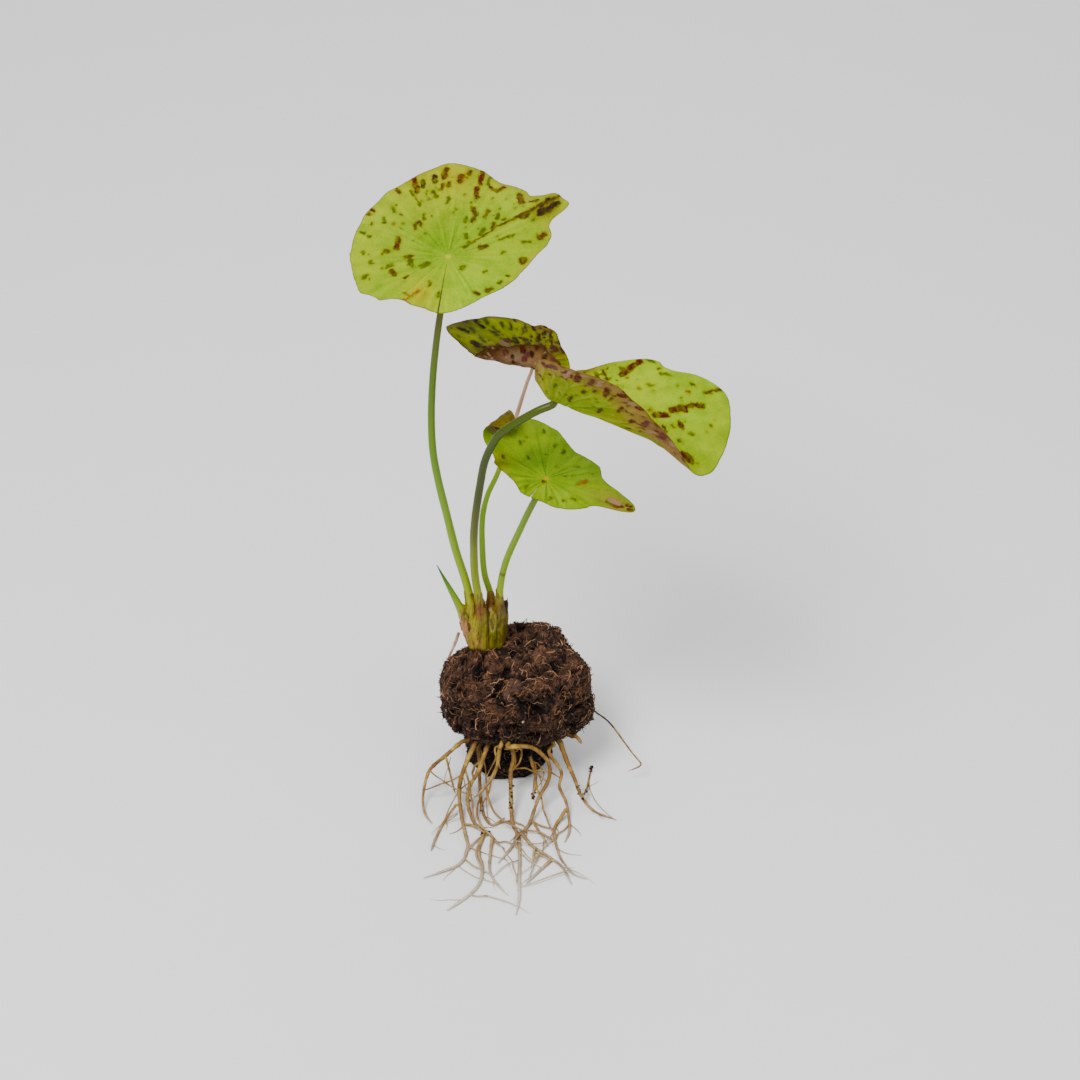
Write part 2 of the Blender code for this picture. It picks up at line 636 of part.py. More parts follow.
def make_shoot(parts):
    """The rolled young leaf, a spike beside the stalks."""
    route = smooth_route(SHOOT["route"], 4.0)
    radii = [spread(SHOOT["radii"], share) for share in shares_along(route)]
    tube("young_shoot", route, radii, parts, material("shoot_green", SHOOT["colour"], 0.45), 2)


def main():
    for old in list(bpy.data.objects):
        bpy.data.objects.remove(old)
    parts = bpy.data.collections.new(OBJECT_NAME)
    cutters = bpy.data.collections.new("cutters")
    bpy.context.scene.collection.children.link(parts)
    bpy.context.scene.collection.children.link(cutters)

    ball = make_soil_ball(parts, cutters)
    crown = make_crown(parts, cutters, ball)
    ball_tree = evaluated_tree(ball)
    for name, blade in BLADES.items():
        make_blade(name, blade, parts)
        make_stalk(name, STALKS[name], blade, parts)
    make_shoot(parts)
    make_side_root(parts, evaluated_tree(crown), ball_tree)
    make_roots(parts, ball_tree)


main()
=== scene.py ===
"""Looks of the tiger lotus: veined and spotted blades, tapering stalks, a fibrous soil ball and
its roots, built round the solids of the frame. Sizes and places are in millimetres, and MM turns
them into metres."""
import math
import random

import bmesh
import bpy
import numpy as np
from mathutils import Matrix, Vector, noise
from mathutils.bvhtree import BVHTree


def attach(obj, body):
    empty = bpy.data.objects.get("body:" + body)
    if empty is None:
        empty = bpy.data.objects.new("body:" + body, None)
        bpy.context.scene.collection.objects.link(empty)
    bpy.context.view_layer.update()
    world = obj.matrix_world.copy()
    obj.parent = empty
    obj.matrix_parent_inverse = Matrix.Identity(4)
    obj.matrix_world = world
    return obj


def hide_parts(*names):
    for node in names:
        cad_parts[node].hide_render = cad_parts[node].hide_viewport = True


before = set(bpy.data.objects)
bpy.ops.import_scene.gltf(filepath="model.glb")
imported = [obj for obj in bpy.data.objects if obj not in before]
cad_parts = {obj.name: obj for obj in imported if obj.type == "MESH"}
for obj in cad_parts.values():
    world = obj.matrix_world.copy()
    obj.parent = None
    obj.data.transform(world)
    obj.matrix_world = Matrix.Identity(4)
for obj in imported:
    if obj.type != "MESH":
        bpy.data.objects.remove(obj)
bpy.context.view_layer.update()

MM = 0.001
GAP = 0.3
# No point of a piece lies lower than this over the surface.
LOWEST = 0.01
# Colours are laid on deeper and darker than they look, as the bright room washes them out.
DEEPER = 1.25
DARKER = 0.72

# The soil ball and the crown, as in the frame.
BALL_CENTRE = (0.8, 0.0, 28.5)
STUMP_MIDDLE = (-9.2, 4.3, 43.1)
STUMP_HALF_SIZES = (5.2, 4.3, 7.0)
STUMP_SQUARENESS = 3.0

BLADE_THICKNESS = 0.6

# Each blade is a flat round sheet with a cleft, bent and then set on its stalk's end.
# at: the stalk's end. heading, pitch and roll: degrees that the far end turns about Z, rises,
# and that the sheet turns about its length. outline: the margin's distance from the stalk by
# angle, from one side of the cleft round to the other. waves: count, height and shift of the
# margin's waves. bends: the way a part rolls, how far its line lies from the stalk, the roll's
# radius, and degrees turned.
BLADES = {
    "upper_leaf": dict(
        at=(-19.0, 0.0, 196.7), heading=82, pitch=16, roll=0,
        outline=(
            (-179.3, 20.5), (-160, 19), (-140, 18.5), (-120, 19), (-100, 22), (-80, 26.5),
            (-69, 31.8), (-58.5, 34.5), (-54, 41), (-49, 41.5), (-44, 41), (-41, 37.5), (-35, 36),
            (-20, 34.5), (-8, 36.5), (8, 38.5), (22, 36), (40, 33.5), (60, 32), (80, 30),
            (115, 29), (124, 29), (132, 26.5), (145, 22), (160, 20.5), (179.3, 20.5)),
        waves=((5, 0.8, 40),),
        bends=((-143, 1, 8, -8),)),
    "lower_leaf": dict(
        at=(10.6, -10.0, 121.5), heading=60, pitch=4, roll=12,
        outline=(
            (-179, 10), (-150, 11), (-118, 14), (-100, 16.5), (-90, 19), (-82, 29), (-76, 29),
            (-68, 24), (-56, 19), (-30, 18.5), (-10, 17), (4, 17.5), (26, 23), (40, 26.5),
            (52, 26.5), (60, 30), (68, 34.5), (75, 35), (80, 33), (85, 25), (90, 20.5), (98, 17.8),
            (106, 16.5), (116, 14), (134, 10.5), (179, 10)),
        waves=((4, 0.4, 0),),
        bends=((80, 22.0, 3.3, 300),)),
    "folded_leaf": dict(
        at=(13.4, -14.0, 155.3), heading=-18, pitch=-15, roll=0,
        outline=(
            (-118, 14), (-110, 21), (-100, 28.5), (-90, 30), (-75, 32.5), (-60, 35.5), (-40, 36),
            (-25, 38.5), (-12, 45), (-5, 48), (0, 52), (10, 55.5), (22, 55.5), (30, 53),
            (36, 46), (41, 38), (50, 33), (58, 24), (70, 14), (90, 11), (120, 9.5), (140, 8)),
        waves=((6, 0.5, 20),),
        bends=((0, 32, 20, -18), (-90, 0, 5, 62), (90, 0, 14, 27))),
    "twisted_leaf": dict(
        at=(6.5, 12.0, 149.8), heading=176, pitch=11, roll=0,
        outline=(
            (-170, 12), (-130, 13), (-115, 16), (-100, 19.5), (-80, 18.5), (-60, 21.5), (-45, 25),
            (-30, 28), (-18, 30), (-8, 25), (0, 21), (18, 20), (32, 21), (46, 20), (60, 18),
            (90, 17), (120, 15), (150, 11), (170, 8)),
        waves=((5, 0.5, 60),),
        bends=((90, 8.2, 3, 90), (90, 0, 4, 30), (-90, 0, 14, 10))),
}

# Each stalk runs from its crown end up to its blade: route, radius at both ends, and how far
# the sheath reaches up and down from its first point.
STALKS = {
    "upper_leaf": dict(
        route=((-12.8, 5.1, 50.2), (-15.2, 3.7, 68.2), (-18.6, 0.5, 85.6), (-21.1, -2.3, 101.8),
               (-23.6, -2.9, 116.3), (-25.0, -3.0, 128.1), (-25.2, -2.0, 140.3),
               (-24.5, -2.0, 153.5), (-23.3, -1.5, 165.4), (-21.8, -1.4, 176.7)),
        radii=(1.45, 1.0), sheath=(9.5, 9.0)),
    "folded_leaf": dict(
        route=((-9.2, 2.2, 50.7), (-12.2, 0.8, 71.8), (-12.6, -3.0, 88.3), (-12.0, -6.5, 102.9),
               (-9.8, -9.0, 120.8), (-8.5, -10.0, 128.4), (-6.5, -11.0, 134.5),
               (-3.7, -12.0, 140.1), (1.8, -13.0, 145.4), (8.0, -14.0, 150.2)),
        radii=(1.35, 1.25), sheath=(12.5, 10.0)),
    "twisted_leaf": dict(
        route=((-7.4, 6.1, 51.2), (-7.6, 6.6, 62.2), (-9.4, 7.7, 69.5), (-10.1, 9.0, 77.0),
               (-10.1, 11.2, 89.6), (-8.4, 14.7, 97.0), (-5.1, 17.0, 104.1), (-1.8, 18.5, 114.6),
               (1.3, 17.0, 127.4), (4.6, 13.4, 142.1)),
        radii=(1.2, 0.55), sheath=(9.0, 10.0)),
    "lower_leaf": dict(
        route=((-5.5, 3.1, 50.7), (-4.7, 2.8, 61.6), (-4.3, 2.3, 68.9), (-3.4, 1.2, 75.8),
               (-1.5, -1.4, 85.0), (2.3, -4.7, 97.6), (4.8, -6.9, 105.7), (7.6, -8.9, 113.6)),
        radii=(1.2, 1.05), sheath=(12.0, 9.0)),
}
STALK_TOP_RUN = 2.4
SHOOT = dict(
    route=((-14.6, 2.1, 49.7), (-17.5, 2.2, 60.0), (-20.7, 1.4, 68.8), (-22.8, 0.4, 74.6),
           (-24.8, -0.8, 80.5)),
    radii=(1.35, 1.55, 1.1, 0.65, 0.12), sheath=(6.5, 7.5))
SIDE_ROOT = dict(
    route=((-18.3, 4.0, 48.4), (-19.2, 3.7, 45.4), (-20.6, 3.0, 41.8), (-22.3, 2.0, 38.4)),
    radii=(0.65, 0.5))

# Each root: its route, with 0 for a height on the surface, and its radius at both ends. Roots
# are laid in this order, each over the ones before it. A fork is a root of its own, whose
# first point is moved up against the root named last.
ROOTS = (
    ("root_left_arc", ((-15, -14, 19), (-19, -17, 17), (-23, -19, 14), (-28, -21, 9),
                       (-30, -25, 0), (-30, -31, 0), (-27, -37, 0)), (0.84, 0.4)),
    ("root_left_arc_fork", ((-22, -21.5, 12), (-20.5, -24, 2), (-19.5, -27, 0)), (0.44, 0.35),
     "root_left_arc"),
    ("root_left_long", ((-13, -16.5, 17.5), (-16, -20.5, 9), (-18, -24, 0), (-18, -30, 0),
                        (-16, -42, 0), (-15, -48, 0), (-17, -56, 0), (-23, -60, 0),
                        (-29, -63, 0)), (0.92, 0.4)),
    ("root_left_long_fork", ((-19, -31, 0), (-22.5, -35, 0), (-25, -42, 0), (-27, -50, 0)),
     (0.53, 0.44), "root_left_long"),
    ("root_left_inner", ((-9, -18, 17), (-11.5, -22.3, 8), (-15, -26, 0), (-15, -32, 0),
                         (-12, -38.5, 0), (-8, -42, 0), (-5.5, -46.5, 0), (-3, -49, 0)),
     (0.88, 0.48)),
    ("root_left_twin", ((-11.8, -14, 13.5), (-11.5, -17.3, 6), (-11.3, -24, 0), (-10, -33, 0),
                        (-7, -38, 0), (-3, -34, 0)), (0.7, 0.44)),
    ("root_front_left_long", ((-11, -42.8, 0), (-11.5, -51, 0), (-10, -58, 0), (-11, -66, 0),
                              (-15, -72, 0), (-21, -78, 0)), (0.7, 0.44), "root_left_inner"),
    ("root_front_left_short", ((-8.5, -45, 0), (-7.5, -51, 0), (-7.6, -60, 0), (-5, -66, 0),
                               (-1.5, -71, 0)), (0.62, 0.31), "root_left_inner"),
    ("root_centre_long", ((-0.5, -19.5, 19), (0, -20.5, 11.5), (-1, -22, 4), (-1, -26, 0),
                          (-0.5, -37, 0), (1.5, -43, 0), (2, -51, 0), (2, -66, 0), (2, -73, 0),
                          (1, -80, 0)), (0.88, 0.48)),
    ("root_cross_left", ((-4.3, -20.5, 22.5), (-5, -22.5, 14), (-6, -23.5, 5), (-9.5, -27.5, 0),
                         (-13, -30, 0)), (0.84, 0.53)),
    ("root_right_loop", ((-2.2, -20.5, 22.5), (4, -21.5, 21.5), (8, -22, 19), (11, -22.5, 13.5),
                         (12, -23, 6), (11.3, -25, 0), (8, -30, 0), (6, -35, 0), (3.5, -41, 0),
                         (-2, -51, 0), (-5, -56, 0)), (0.88, 0.44)),
    ("root_right_loop_twin", ((6, -20.2, 12), (7, -20.8, 6.5), (7.2, -23.5, 0), (6.2, -27, 0)),
     (0.62, 0.53)),
    ("root_front_right", ((4.6, -45, 0), (7, -49, 0), (12, -53.5, 0), (16, -58, 0), (19, -66, 0)),
     (0.66, 0.35), "root_right_loop"),
    ("root_front_right_fork", ((12, -54.5, 0), (7.5, -61, 0), (4.2, -65.5, 0)), (0.57, 0.35),
     "root_front_right"),
    ("root_front_right_spur", ((6.5, -50, 0), (6.0, -58, 0)), (0.44, 0.31), "root_front_right"),
    ("root_right_link", ((6.5, -36, 0), (9.5, -43, 0), (11.3, -48, 0)), (0.44, 0.4),
     "root_right_loop"),
    ("root_right_inner", ((13, -16.5, 18.5), (11.5, -19.5, 16), (14.5, -21.5, 10.5),
                          (16, -22.5, 5), (15, -25.5, 0), (17.5, -30, 0), (18.5, -40, 0),
                          (16.8, -46, 0)), (0.7, 0.44)),
    ("root_right_outer", ((15.5, -15.5, 17), (17.5, -18.5, 9), (20, -21, 0), (22, -26, 0),
                          (24, -28.5, 0), (28, -32, 0), (34, -35, 0)), (1.01, 0.31)),
    ("root_right_outer_fork", ((23.5, -27, 0), (25, -16, 0), (26, -9, 0)), (0.4, 0.31),
     "root_right_outer"),
    ("root_right_sweep", ((17, -32, 0), (13.5, -39, 0), (13.8, -46, 0), (15.2, -53, 0),
                          (18, -60, 0), (24, -63.5, 0)), (0.66, 0.31), "root_right_inner"),
    ("root_right_stub", ((18, -11.5, 20), (20.5, -14, 19.5), (22.5, -16, 16.5)), (0.66, 0.57)),
    ("root_far_right", ((25.5, -5, 22.5), (29, -6, 21), (32.5, -8, 18.5), (36.5, -10, 10),
                        (40, -12, 3), (43, -14.5, 0), (38.5, -14.5, 0)), (0.35, 0.3)),
    ("root_back_left", ((-12, 15.5, 17), (-15, 19, 10), (-16.5, 22, 0), (-19, 28, 0),
                        (-17, 35, 0)), (0.79, 0.4)),
    ("root_back_middle", ((-2, 19, 17), (-3, 22, 9), (-2.5, 24, 0), (1, 31, 0), (-2, 38, 0)),
     (0.84, 0.4)),
    ("root_back_right", ((10, 17, 17), (12.5, 20.5, 10), (13, 23, 0), (16.5, 28, 0), (15, 36, 0)),
     (0.75, 0.4)),
    ("root_back_right_fork", ((16, 28.5, 0), (20.5, 33.5, 0)), (0.44, 0.35), "root_back_right"),
)
ROOT_STEP = 1.0
ROOT_CLEARANCE = 0.55
ROOT_STEEPEST = 0.55
PUSHES = 4
ON_SURFACE_BELOW = 3.5
PASSED_UNDER_ABOVE = 6.5


def smooth_route(points, step):
    """Points every step or so along a smooth curve through the given ones."""
    points = [Vector(p) for p in points]
    padded = [2 * points[0] - points[1], *points, 2 * points[-1] - points[-2]]
    route = []
    for before, start, end, after in zip(padded, padded[1:], padded[2:], padded[3:]):
        count = max(1, round((end - start).length / step))
        for i in range(count):
            t = i / count
            route.append(0.5 * (
                2 * start + (end - before) * t
                + (2 * before - 5 * start + 4 * end - after) * t * t
                + (3 * start - before - 3 * end + after) * t ** 3))
    route.append(points[-1])
    return route


def spread(values, share):
    """A value from an evenly spaced list, share of the way along it."""
    place = share * (len(values) - 1)
    i = min(int(place), len(values) - 2)
    return values[i] + (values[i + 1] - values[i]) * (place - i)


def shares_along(route):
    """How far along a route each of its points lies, from 0 to 1."""
    lengths = [0.0]
    for a, b in zip(route, route[1:]):
        lengths.append(lengths[-1] + (b - a).length)
    return [length / lengths[-1] for length in lengths]


def margin_radius(outline, angle):
    """The margin's distance from the stalk at an angle, on a smooth curve through the outline."""
    angles = [a for a, _ in outline]
    radii = [r for _, r in outline]
    last = len(outline) - 1
    i = max(k for k in range(last) if angles[k] <= angle or k == 0)

    def slope(k):
        low, high = max(k - 1, 0), min(k + 1, last)
        return (radii[high] - radii[low]) / (angles[high] - angles[low])
    gap = angles[i + 1] - angles[i]
    t = (angle - angles[i]) / gap
    return ((2 * t ** 3 - 3 * t ** 2 + 1) * radii[i]
            + (t ** 3 - 2 * t ** 2 + t) * gap * slope(i)
            + (3 * t ** 2 - 2 * t ** 3) * radii[i + 1]
            + (t ** 3 - t ** 2) * gap * slope(i + 1))


def bent(point, heading, start, radius, turn):
    """Rolls the sheet up past a line, or down where the turn is negative."""
    along = Vector((math.cos(math.radians(heading)), math.sin(math.radians(heading)), 0))
    past = point.dot(along) - start
    if past <= 0:
        return point
    sign = math.copysign(1, turn)
    part = min(past / radius, math.radians(abs(turn)))
    rest = past - part * radius
    inner = radius - sign * point.z
    moved = inner * math.sin(part) + rest * math.cos(part)
    height = sign * (radius - inner * math.cos(part) + rest * math.sin(part))
    out = point + along * (moved - past)
    out.z = height
    return out


def turned(blade, point):
    """Rolls a point about the blade's length, pitches it and turns it to its heading."""
    x, y, z = point
    roll = math.radians(blade["roll"])
    y, z = y * math.cos(roll) - z * math.sin(roll), y * math.sin(roll) + z * math.cos(roll)
    pitch = math.radians(blade["pitch"])
    x, z = x * math.cos(pitch) - z * math.sin(pitch), x * math.sin(pitch) + z * math.cos(pitch)
    heading = math.radians(blade["heading"])
    x, y = (x * math.cos(heading) - y * math.sin(heading),
            x * math.sin(heading) + y * math.cos(heading))
    return Vector((x, y, z))


def stalk_end(blade):
    """Where a stalk stops under its blade, and the way that it comes up to it."""
    way = turned(blade, Vector((0, 0, 1)))
    below = BLADE_THICKNESS / 2 + GAP
    return Vector(blade["at"]) - way * below, way


def pushed_clear(point, distance, tree):
    """Moves a point out of a solid until it is the given distance from it. In a crease the first
    push can end too near the other side, so it is tried again from there."""
    for _ in range(PUSHES):
        near, normal, _, _ = tree.find_nearest(point)
        away = point - near
        outside = away.dot(normal) > -away.length / 2
        if outside and away.length >= distance:
            break
        point = near + normal * distance
    return point


def lifted(route, radii, laid):
    """Raises the parts of a root that lie on the surface over the roots laid before it, unless
    those hang high enough to pass under."""
    heights = [max(point.z, radius) for point, radius in zip(route, radii)]
    for i, (point, radius) in enumerate(zip(route, radii)):
        if point.z > ON_SURFACE_BELOW:
            continue
        for other, other_radius, clearance in laid:
            flat = math.hypot(point.x - other.x, point.y - other.y)
            need = radius + other_radius + clearance
            if flat < need and other.z < PASSED_UNDER_ABOVE:
                heights[i] = max(heights[i], other.z + math.sqrt(need ** 2 - flat ** 2))
    for order in (range(1, len(route)), range(len(route) - 2, -1, -1)):
        step = order.step
        for i in order:
            neighbour = i - step
            run = (route[i] - route[neighbour]).length
            heights[i] = max(heights[i], heights[neighbour] - run * ROOT_STEEPEST)
    return [Vector((point.x, point.y, height)) for point, height in zip(route, heights)]


def moved_apart(route, radii, laid):
    """Moves the hanging parts of a root away from the roots laid before it."""
    out = []
    for point, radius in zip(route, radii):
        for other, other_radius, clearance in laid:
            away = point - other
            need = radius + other_radius + clearance
            if point.z > ON_SURFACE_BELOW and 0 < away.length < need:
                point = other + away.normalized() * need
        out.append(point)
    return out


def against(points, radius, parent):
    """A fork's points, the first one moved up against the root that it leaves."""
    first, second = (Vector(p) for p in points[:2])
    near, near_radius = min(parent, key=lambda sample: (sample[0].xy - first.xy).length)
    away = second - near
    away.z = 0
    start = near + away.normalized() * (near_radius + radius + GAP)
    return (start, *points[1:])


# Small tools

def ink(code):
    """A colour such as "#b4c81e" in linear light, deepened and darkened."""
    parts = np.array([int(code[i:i + 2], 16) / 255 for i in (1, 3, 5)])
    parts = np.where(parts <= 0.04045, parts / 12.92, ((parts + 0.055) / 1.055) ** 2.4)
    grey = parts @ (0.2126, 0.7152, 0.0722)
    return np.clip(grey + DEEPER * (parts - grey), 0.0, 1) * DARKER


def tinted(paint, code, weight):
    """The paint turned towards a colour, by a weight for each point."""
    weight = weight[:, None]
    return paint * (1 - weight) + ink(code) * weight


def smoothstep(low, high, value):
    """0 below low, 1 above high, and a smooth rise between them. The two may be swapped."""
    t = np.clip((value - low) / (high - low), 0, 1)
    return t * t * (3 - 2 * t)


def bump(values, middle, reach):
    """1 at the middle, and a soft fall to 0 beyond the reach on both sides."""
    return np.exp(-((values - middle) / reach) ** 2)


def soft_noise(points, length, seed=0.0):
    """Smooth noise from -1 to 1 with bumps about a length long. The points lie on a line, on a
    plane or in space."""
    points = np.asarray(points, dtype=float)
    points = points.reshape(len(points), -1)
    points = np.pad(points, ((0, 0), (0, 3 - points.shape[1])))
    shift = Vector((seed, seed * 0.7, -seed * 1.3))
    return np.array([noise.noise(Vector(p) / length + shift) for p in points])


def rough_noise(points, length, octaves, seed=0.0):
    """Noise with finer and finer bumps."""
    total = np.zeros(len(points))
    for k in range(octaves):
        total += soft_noise(points, length / 2 ** k, seed + 11 * k) / 2 ** k
    return total


def add_field(mesh, key, values):
    """Stores a number or a colour at each point of a mesh."""
    values = np.asarray(values, dtype=np.float32)
    if values.ndim == 2:
        rgba = np.ones((len(values), 4), dtype=np.float32)
        rgba[:, :3] = np.clip(values, 0, 1)
        mesh.attributes.new(key, "FLOAT_COLOR", "POINT").data.foreach_set("color", rgba.ravel())
    else:
        mesh.attributes.new(key, "FLOAT", "POINT").data.foreach_set("value", values)


def piece(name, verts, faces, paint, finish, slot, replaces=(), uv=None, **fields):
    """A smooth mesh piece from points in millimetres, with a colour at each point, and with a
    flat map and more fields where they are given."""
    verts[:, 2] = np.maximum(verts[:, 2], LOWEST)
    mesh = bpy.data.meshes.new(name)
    mesh.from_pydata((verts * MM).tolist(), [], faces)
    for key, values in {"paint": paint, **fields}.items():
        add_field(mesh, key, values)
    if uv is not None:
        corners = np.empty(len(mesh.loops), dtype=np.int32)
        mesh.loops.foreach_get("vertex_index", corners)
        flat = mesh.uv_layers.new(name="flat")
        flat.data.foreach_set("uv", np.asarray(uv, dtype=np.float32)[corners].ravel())
    mesh.shade_smooth()
    made = bpy.data.objects.new(name, mesh)
    bpy.context.scene.collection.objects.link(made)
    mesh.materials.append(finish)
    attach(made, "root")
    for node in replaces:
        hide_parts(node)


class Gathered:
    """Many small shapes that become one piece."""

    def __init__(self):
        self.verts, self.faces, self.paint = [], [], []
        self.count = 0

    def add(self, verts, faces, paint):
        """Adds a shape with one colour, or with a colour for each of its points."""
        self.faces.extend(tuple(i + self.count for i in face) for face in faces)
        self.verts.append(verts)
        self.paint.append(np.broadcast_to(paint, (len(verts), 3)))
        self.count += len(verts)

    def piece(self, name, finish, slot):
        piece(name, np.concatenate(self.verts), self.faces, np.concatenate(self.paint), finish,
              slot)


def tube_points(route, radii, sides, bulge=0.7):
    """Rings of points round a route, with a point at each end, and the faces between them."""
    route = np.array([tuple(p) for p in route])
    radii = np.asarray(radii, dtype=float)
    way = np.gradient(route, axis=0)
    for k in range(1, len(way)):
        if np.linalg.norm(way[k]) < 1e-4:
            way[k] = way[k - 1]
    way /= np.linalg.norm(way, axis=1, keepdims=True)
    side = np.cross(way[0], (0, 0, 1.0))
    if np.linalg.norm(side) < 0.1:
        side = np.cross(way[0], (0, 1.0, 0))
    rings = []
    turn = np.linspace(0, 2 * math.pi, sides, endpoint=False)
    for k in range(len(route)):
        side = side - way[k] * (side @ way[k])
        side /= np.linalg.norm(side)
        third = np.cross(way[k], side)
        rings.append(route[k] + radii[k] * (np.outer(np.cos(turn), side)
                                            + np.outer(np.sin(turn), third)))
    verts = np.concatenate([route[:1] - way[:1] * radii[0] * 0.5, *rings,
                            route[-1:] + way[-1:] * radii[-1] * bulge])
    faces = []
    last = len(verts) - 1
    for s in range(sides):
        t = (s + 1) % sides
        faces.append((0, 1 + t, 1 + s))
        for k in range(len(route) - 1):
            a, b = 1 + k * sides, 1 + (k + 1) * sides
            faces.append((a + s, a + t, b + t, b + s))
        end = 1 + (len(route) - 1) * sides
        faces.append((end + s, end + t, last))
    return verts, faces


def colour_along(stops, shares):
    """Colours between the stops of a list of (share, code)."""
    places = [s for s, _ in stops]
    codes = np.array([ink(c) for _, c in stops])
    return np.stack([np.interp(shares, places, codes[:, i]) for i in range(3)], -1)


def per_ring(values, sides):
    """Repeats one value a ring for the points of a tube, with the end points' values added."""
    values = np.asarray(values)
    return np.concatenate([values[:1], np.repeat(values, sides, axis=0), values[-1:]])


def round_tube(count, sides):
    """How far round a tube each of its points lies, from 0 to 1."""
    return np.concatenate([[0], np.tile(np.arange(sides) / sides, count), [0]])


def remeshed(bm, size, smoothing):
    """An even mesh of small squares over all the closed shapes of a bmesh, as one skin."""
    mesh = bpy.data.meshes.new("raw")
    bm.to_mesh(mesh)
    bm.free()
    made = bpy.data.objects.new("raw", mesh)
    bpy.context.scene.collection.objects.link(made)
    even = made.modifiers.new("even", "REMESH")
    even.mode = "VOXEL"
    even.voxel_size = size
    ease = made.modifiers.new("ease", "SMOOTH")
    ease.factor = 0.5
    ease.iterations = smoothing
    bpy.context.view_layer.update()
    done = bpy.data.meshes.new_from_object(
        made.evaluated_get(bpy.context.evaluated_depsgraph_get()))
    verts = np.empty(len(done.vertices) * 3)
    done.vertices.foreach_get("co", verts)
    faces = [tuple(p.vertices) for p in done.polygons]
    bpy.data.objects.remove(made)
    bpy.data.meshes.remove(mesh)
    bpy.data.meshes.remove(done)
    return verts.reshape(-1, 3), faces


def vertex_normals(verts, faces):
    """Smooth normals of a mesh of four-sided or three-sided faces."""
    out = np.zeros_like(verts)
    quads = np.array([f if len(f) == 4 else (*f, f[2]) for f in faces])
    a, b, c, d = (verts[quads[:, i]] for i in range(4))
    flat = np.cross(c - a, d - b)
    for i in range(4):
        np.add.at(out, quads[:, i], flat)
    return out / np.maximum(np.linalg.norm(out, axis=1, keepdims=True), 1e-9)


def node_bmesh(name):
    """A bmesh, in millimetres, of a solid of the frame."""
    bm = bmesh.new()
    bm.from_mesh(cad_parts[name].data)
    bmesh.ops.transform(bm, matrix=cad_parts[name].matrix_world, verts=bm.verts)
    bmesh.ops.scale(bm, vec=(1 / MM, 1 / MM, 1 / MM), verts=bm.verts)
    bmesh.ops.remove_doubles(bm, verts=bm.verts, dist=0.01)
    return bm


def node_tree(name):
    """A search tree of a solid of the frame, in millimetres."""
    bm = node_bmesh(name)
    tree = BVHTree.FromBMesh(bm)
    bm.free()
    return tree


# Materials

class Graph:
    """A material under construction."""

    def __init__(self, name, roughness, specular=0.5):
        self.material = bpy.data.materials.new(name)
        self.material.use_nodes = True
        self.tree = self.material.node_tree
        self.shader = self.tree.nodes["Principled BSDF"]
        self.shader.inputs["Roughness"].default_value = roughness
        self.shader.inputs["Specular IOR Level"].default_value = specular

    def node(self, kind, sockets, **settings):
        """A shader node, with its sockets set or linked."""
        made = self.tree.nodes.new("ShaderNode" + kind)
        for key, value in settings.items():
            setattr(made, key, value)
        for key, value in sockets.items():
            if isinstance(value, bpy.types.NodeSocket):
                self.tree.links.new(value, made.inputs[key])
            else:
                made.inputs[key].default_value = value
        return made

    def attribute(self, name, output):
        return self.node("Attribute", {}, attribute_name=name).outputs[output]

    def flat(self):
        """The place on the piece's flat map."""
        return self.node("UVMap", {}, uv_map="flat").outputs["UV"]

    def place(self):
        """The place in space."""
        return self.node("TexCoord", {}).outputs["Object"]

    def stretched(self, vector, scale):
        return self.node("Mapping", {"Vector": vector, "Scale": scale}).outputs["Vector"]

    def noise(self, vector, scale, detail=5.0, roughness=0.55):
        return self.node("TexNoise", {"Vector": vector, "Scale": scale, "Detail": detail,
                                      "Roughness": roughness}).outputs["Fac"]

    def cells(self, vector, scale, feature="DISTANCE_TO_EDGE"):
        return self.node("TexVoronoi", {"Vector": vector, "Scale": scale},
                         feature=feature).outputs["Distance"]

    def maths(self, operation, a, b=0.0, c=0.0):
        return self.node("Math", {0: a, 1: b, 2: c}, operation=operation).outputs[0]

    def step(self, value, low, high, out_low=0.0, out_high=1.0):
        """A smooth step from out_low to out_high as the value goes from low to high."""
        return self.node("MapRange", {"Value": value, "From Min": low, "From Max": high,
                                      "To Min": out_low, "To Max": out_high},
                         interpolation_type="SMOOTHSTEP").outputs["Result"]

    def mix(self, share, a, b, blend="MIX"):
        """Colour a turned towards colour b by a share."""
        def full(v):
            return v if isinstance(v, bpy.types.NodeSocket) else (*v, 1.0)
        return self.node("Mix", {0: share, 6: full(a), 7: full(b)}, data_type="RGBA",
                         blend_type=blend).outputs[2]

    def tinged(self, share, colour, factors):
        """The colour times the factors, by a share."""
        return self.mix(share, colour, self.mix(1.0, colour, factors, "MULTIPLY"))

    def finish(self, colour, height, strength, depth, roughness=None):
        """Links the colour and a bump with a depth in millimetres, and gives the material."""
        self.tree.links.new(colour, self.shader.inputs["Base Color"])
        if roughness is not None:
            self.tree.links.new(roughness, self.shader.inputs["Roughness"])
        bump_node = self.node("Bump", {"Strength": strength, "Distance": depth * MM,
                                       "Height": height})
        self.tree.links.new(bump_node.outputs["Normal"], self.shader.inputs["Normal"])
        return self.material


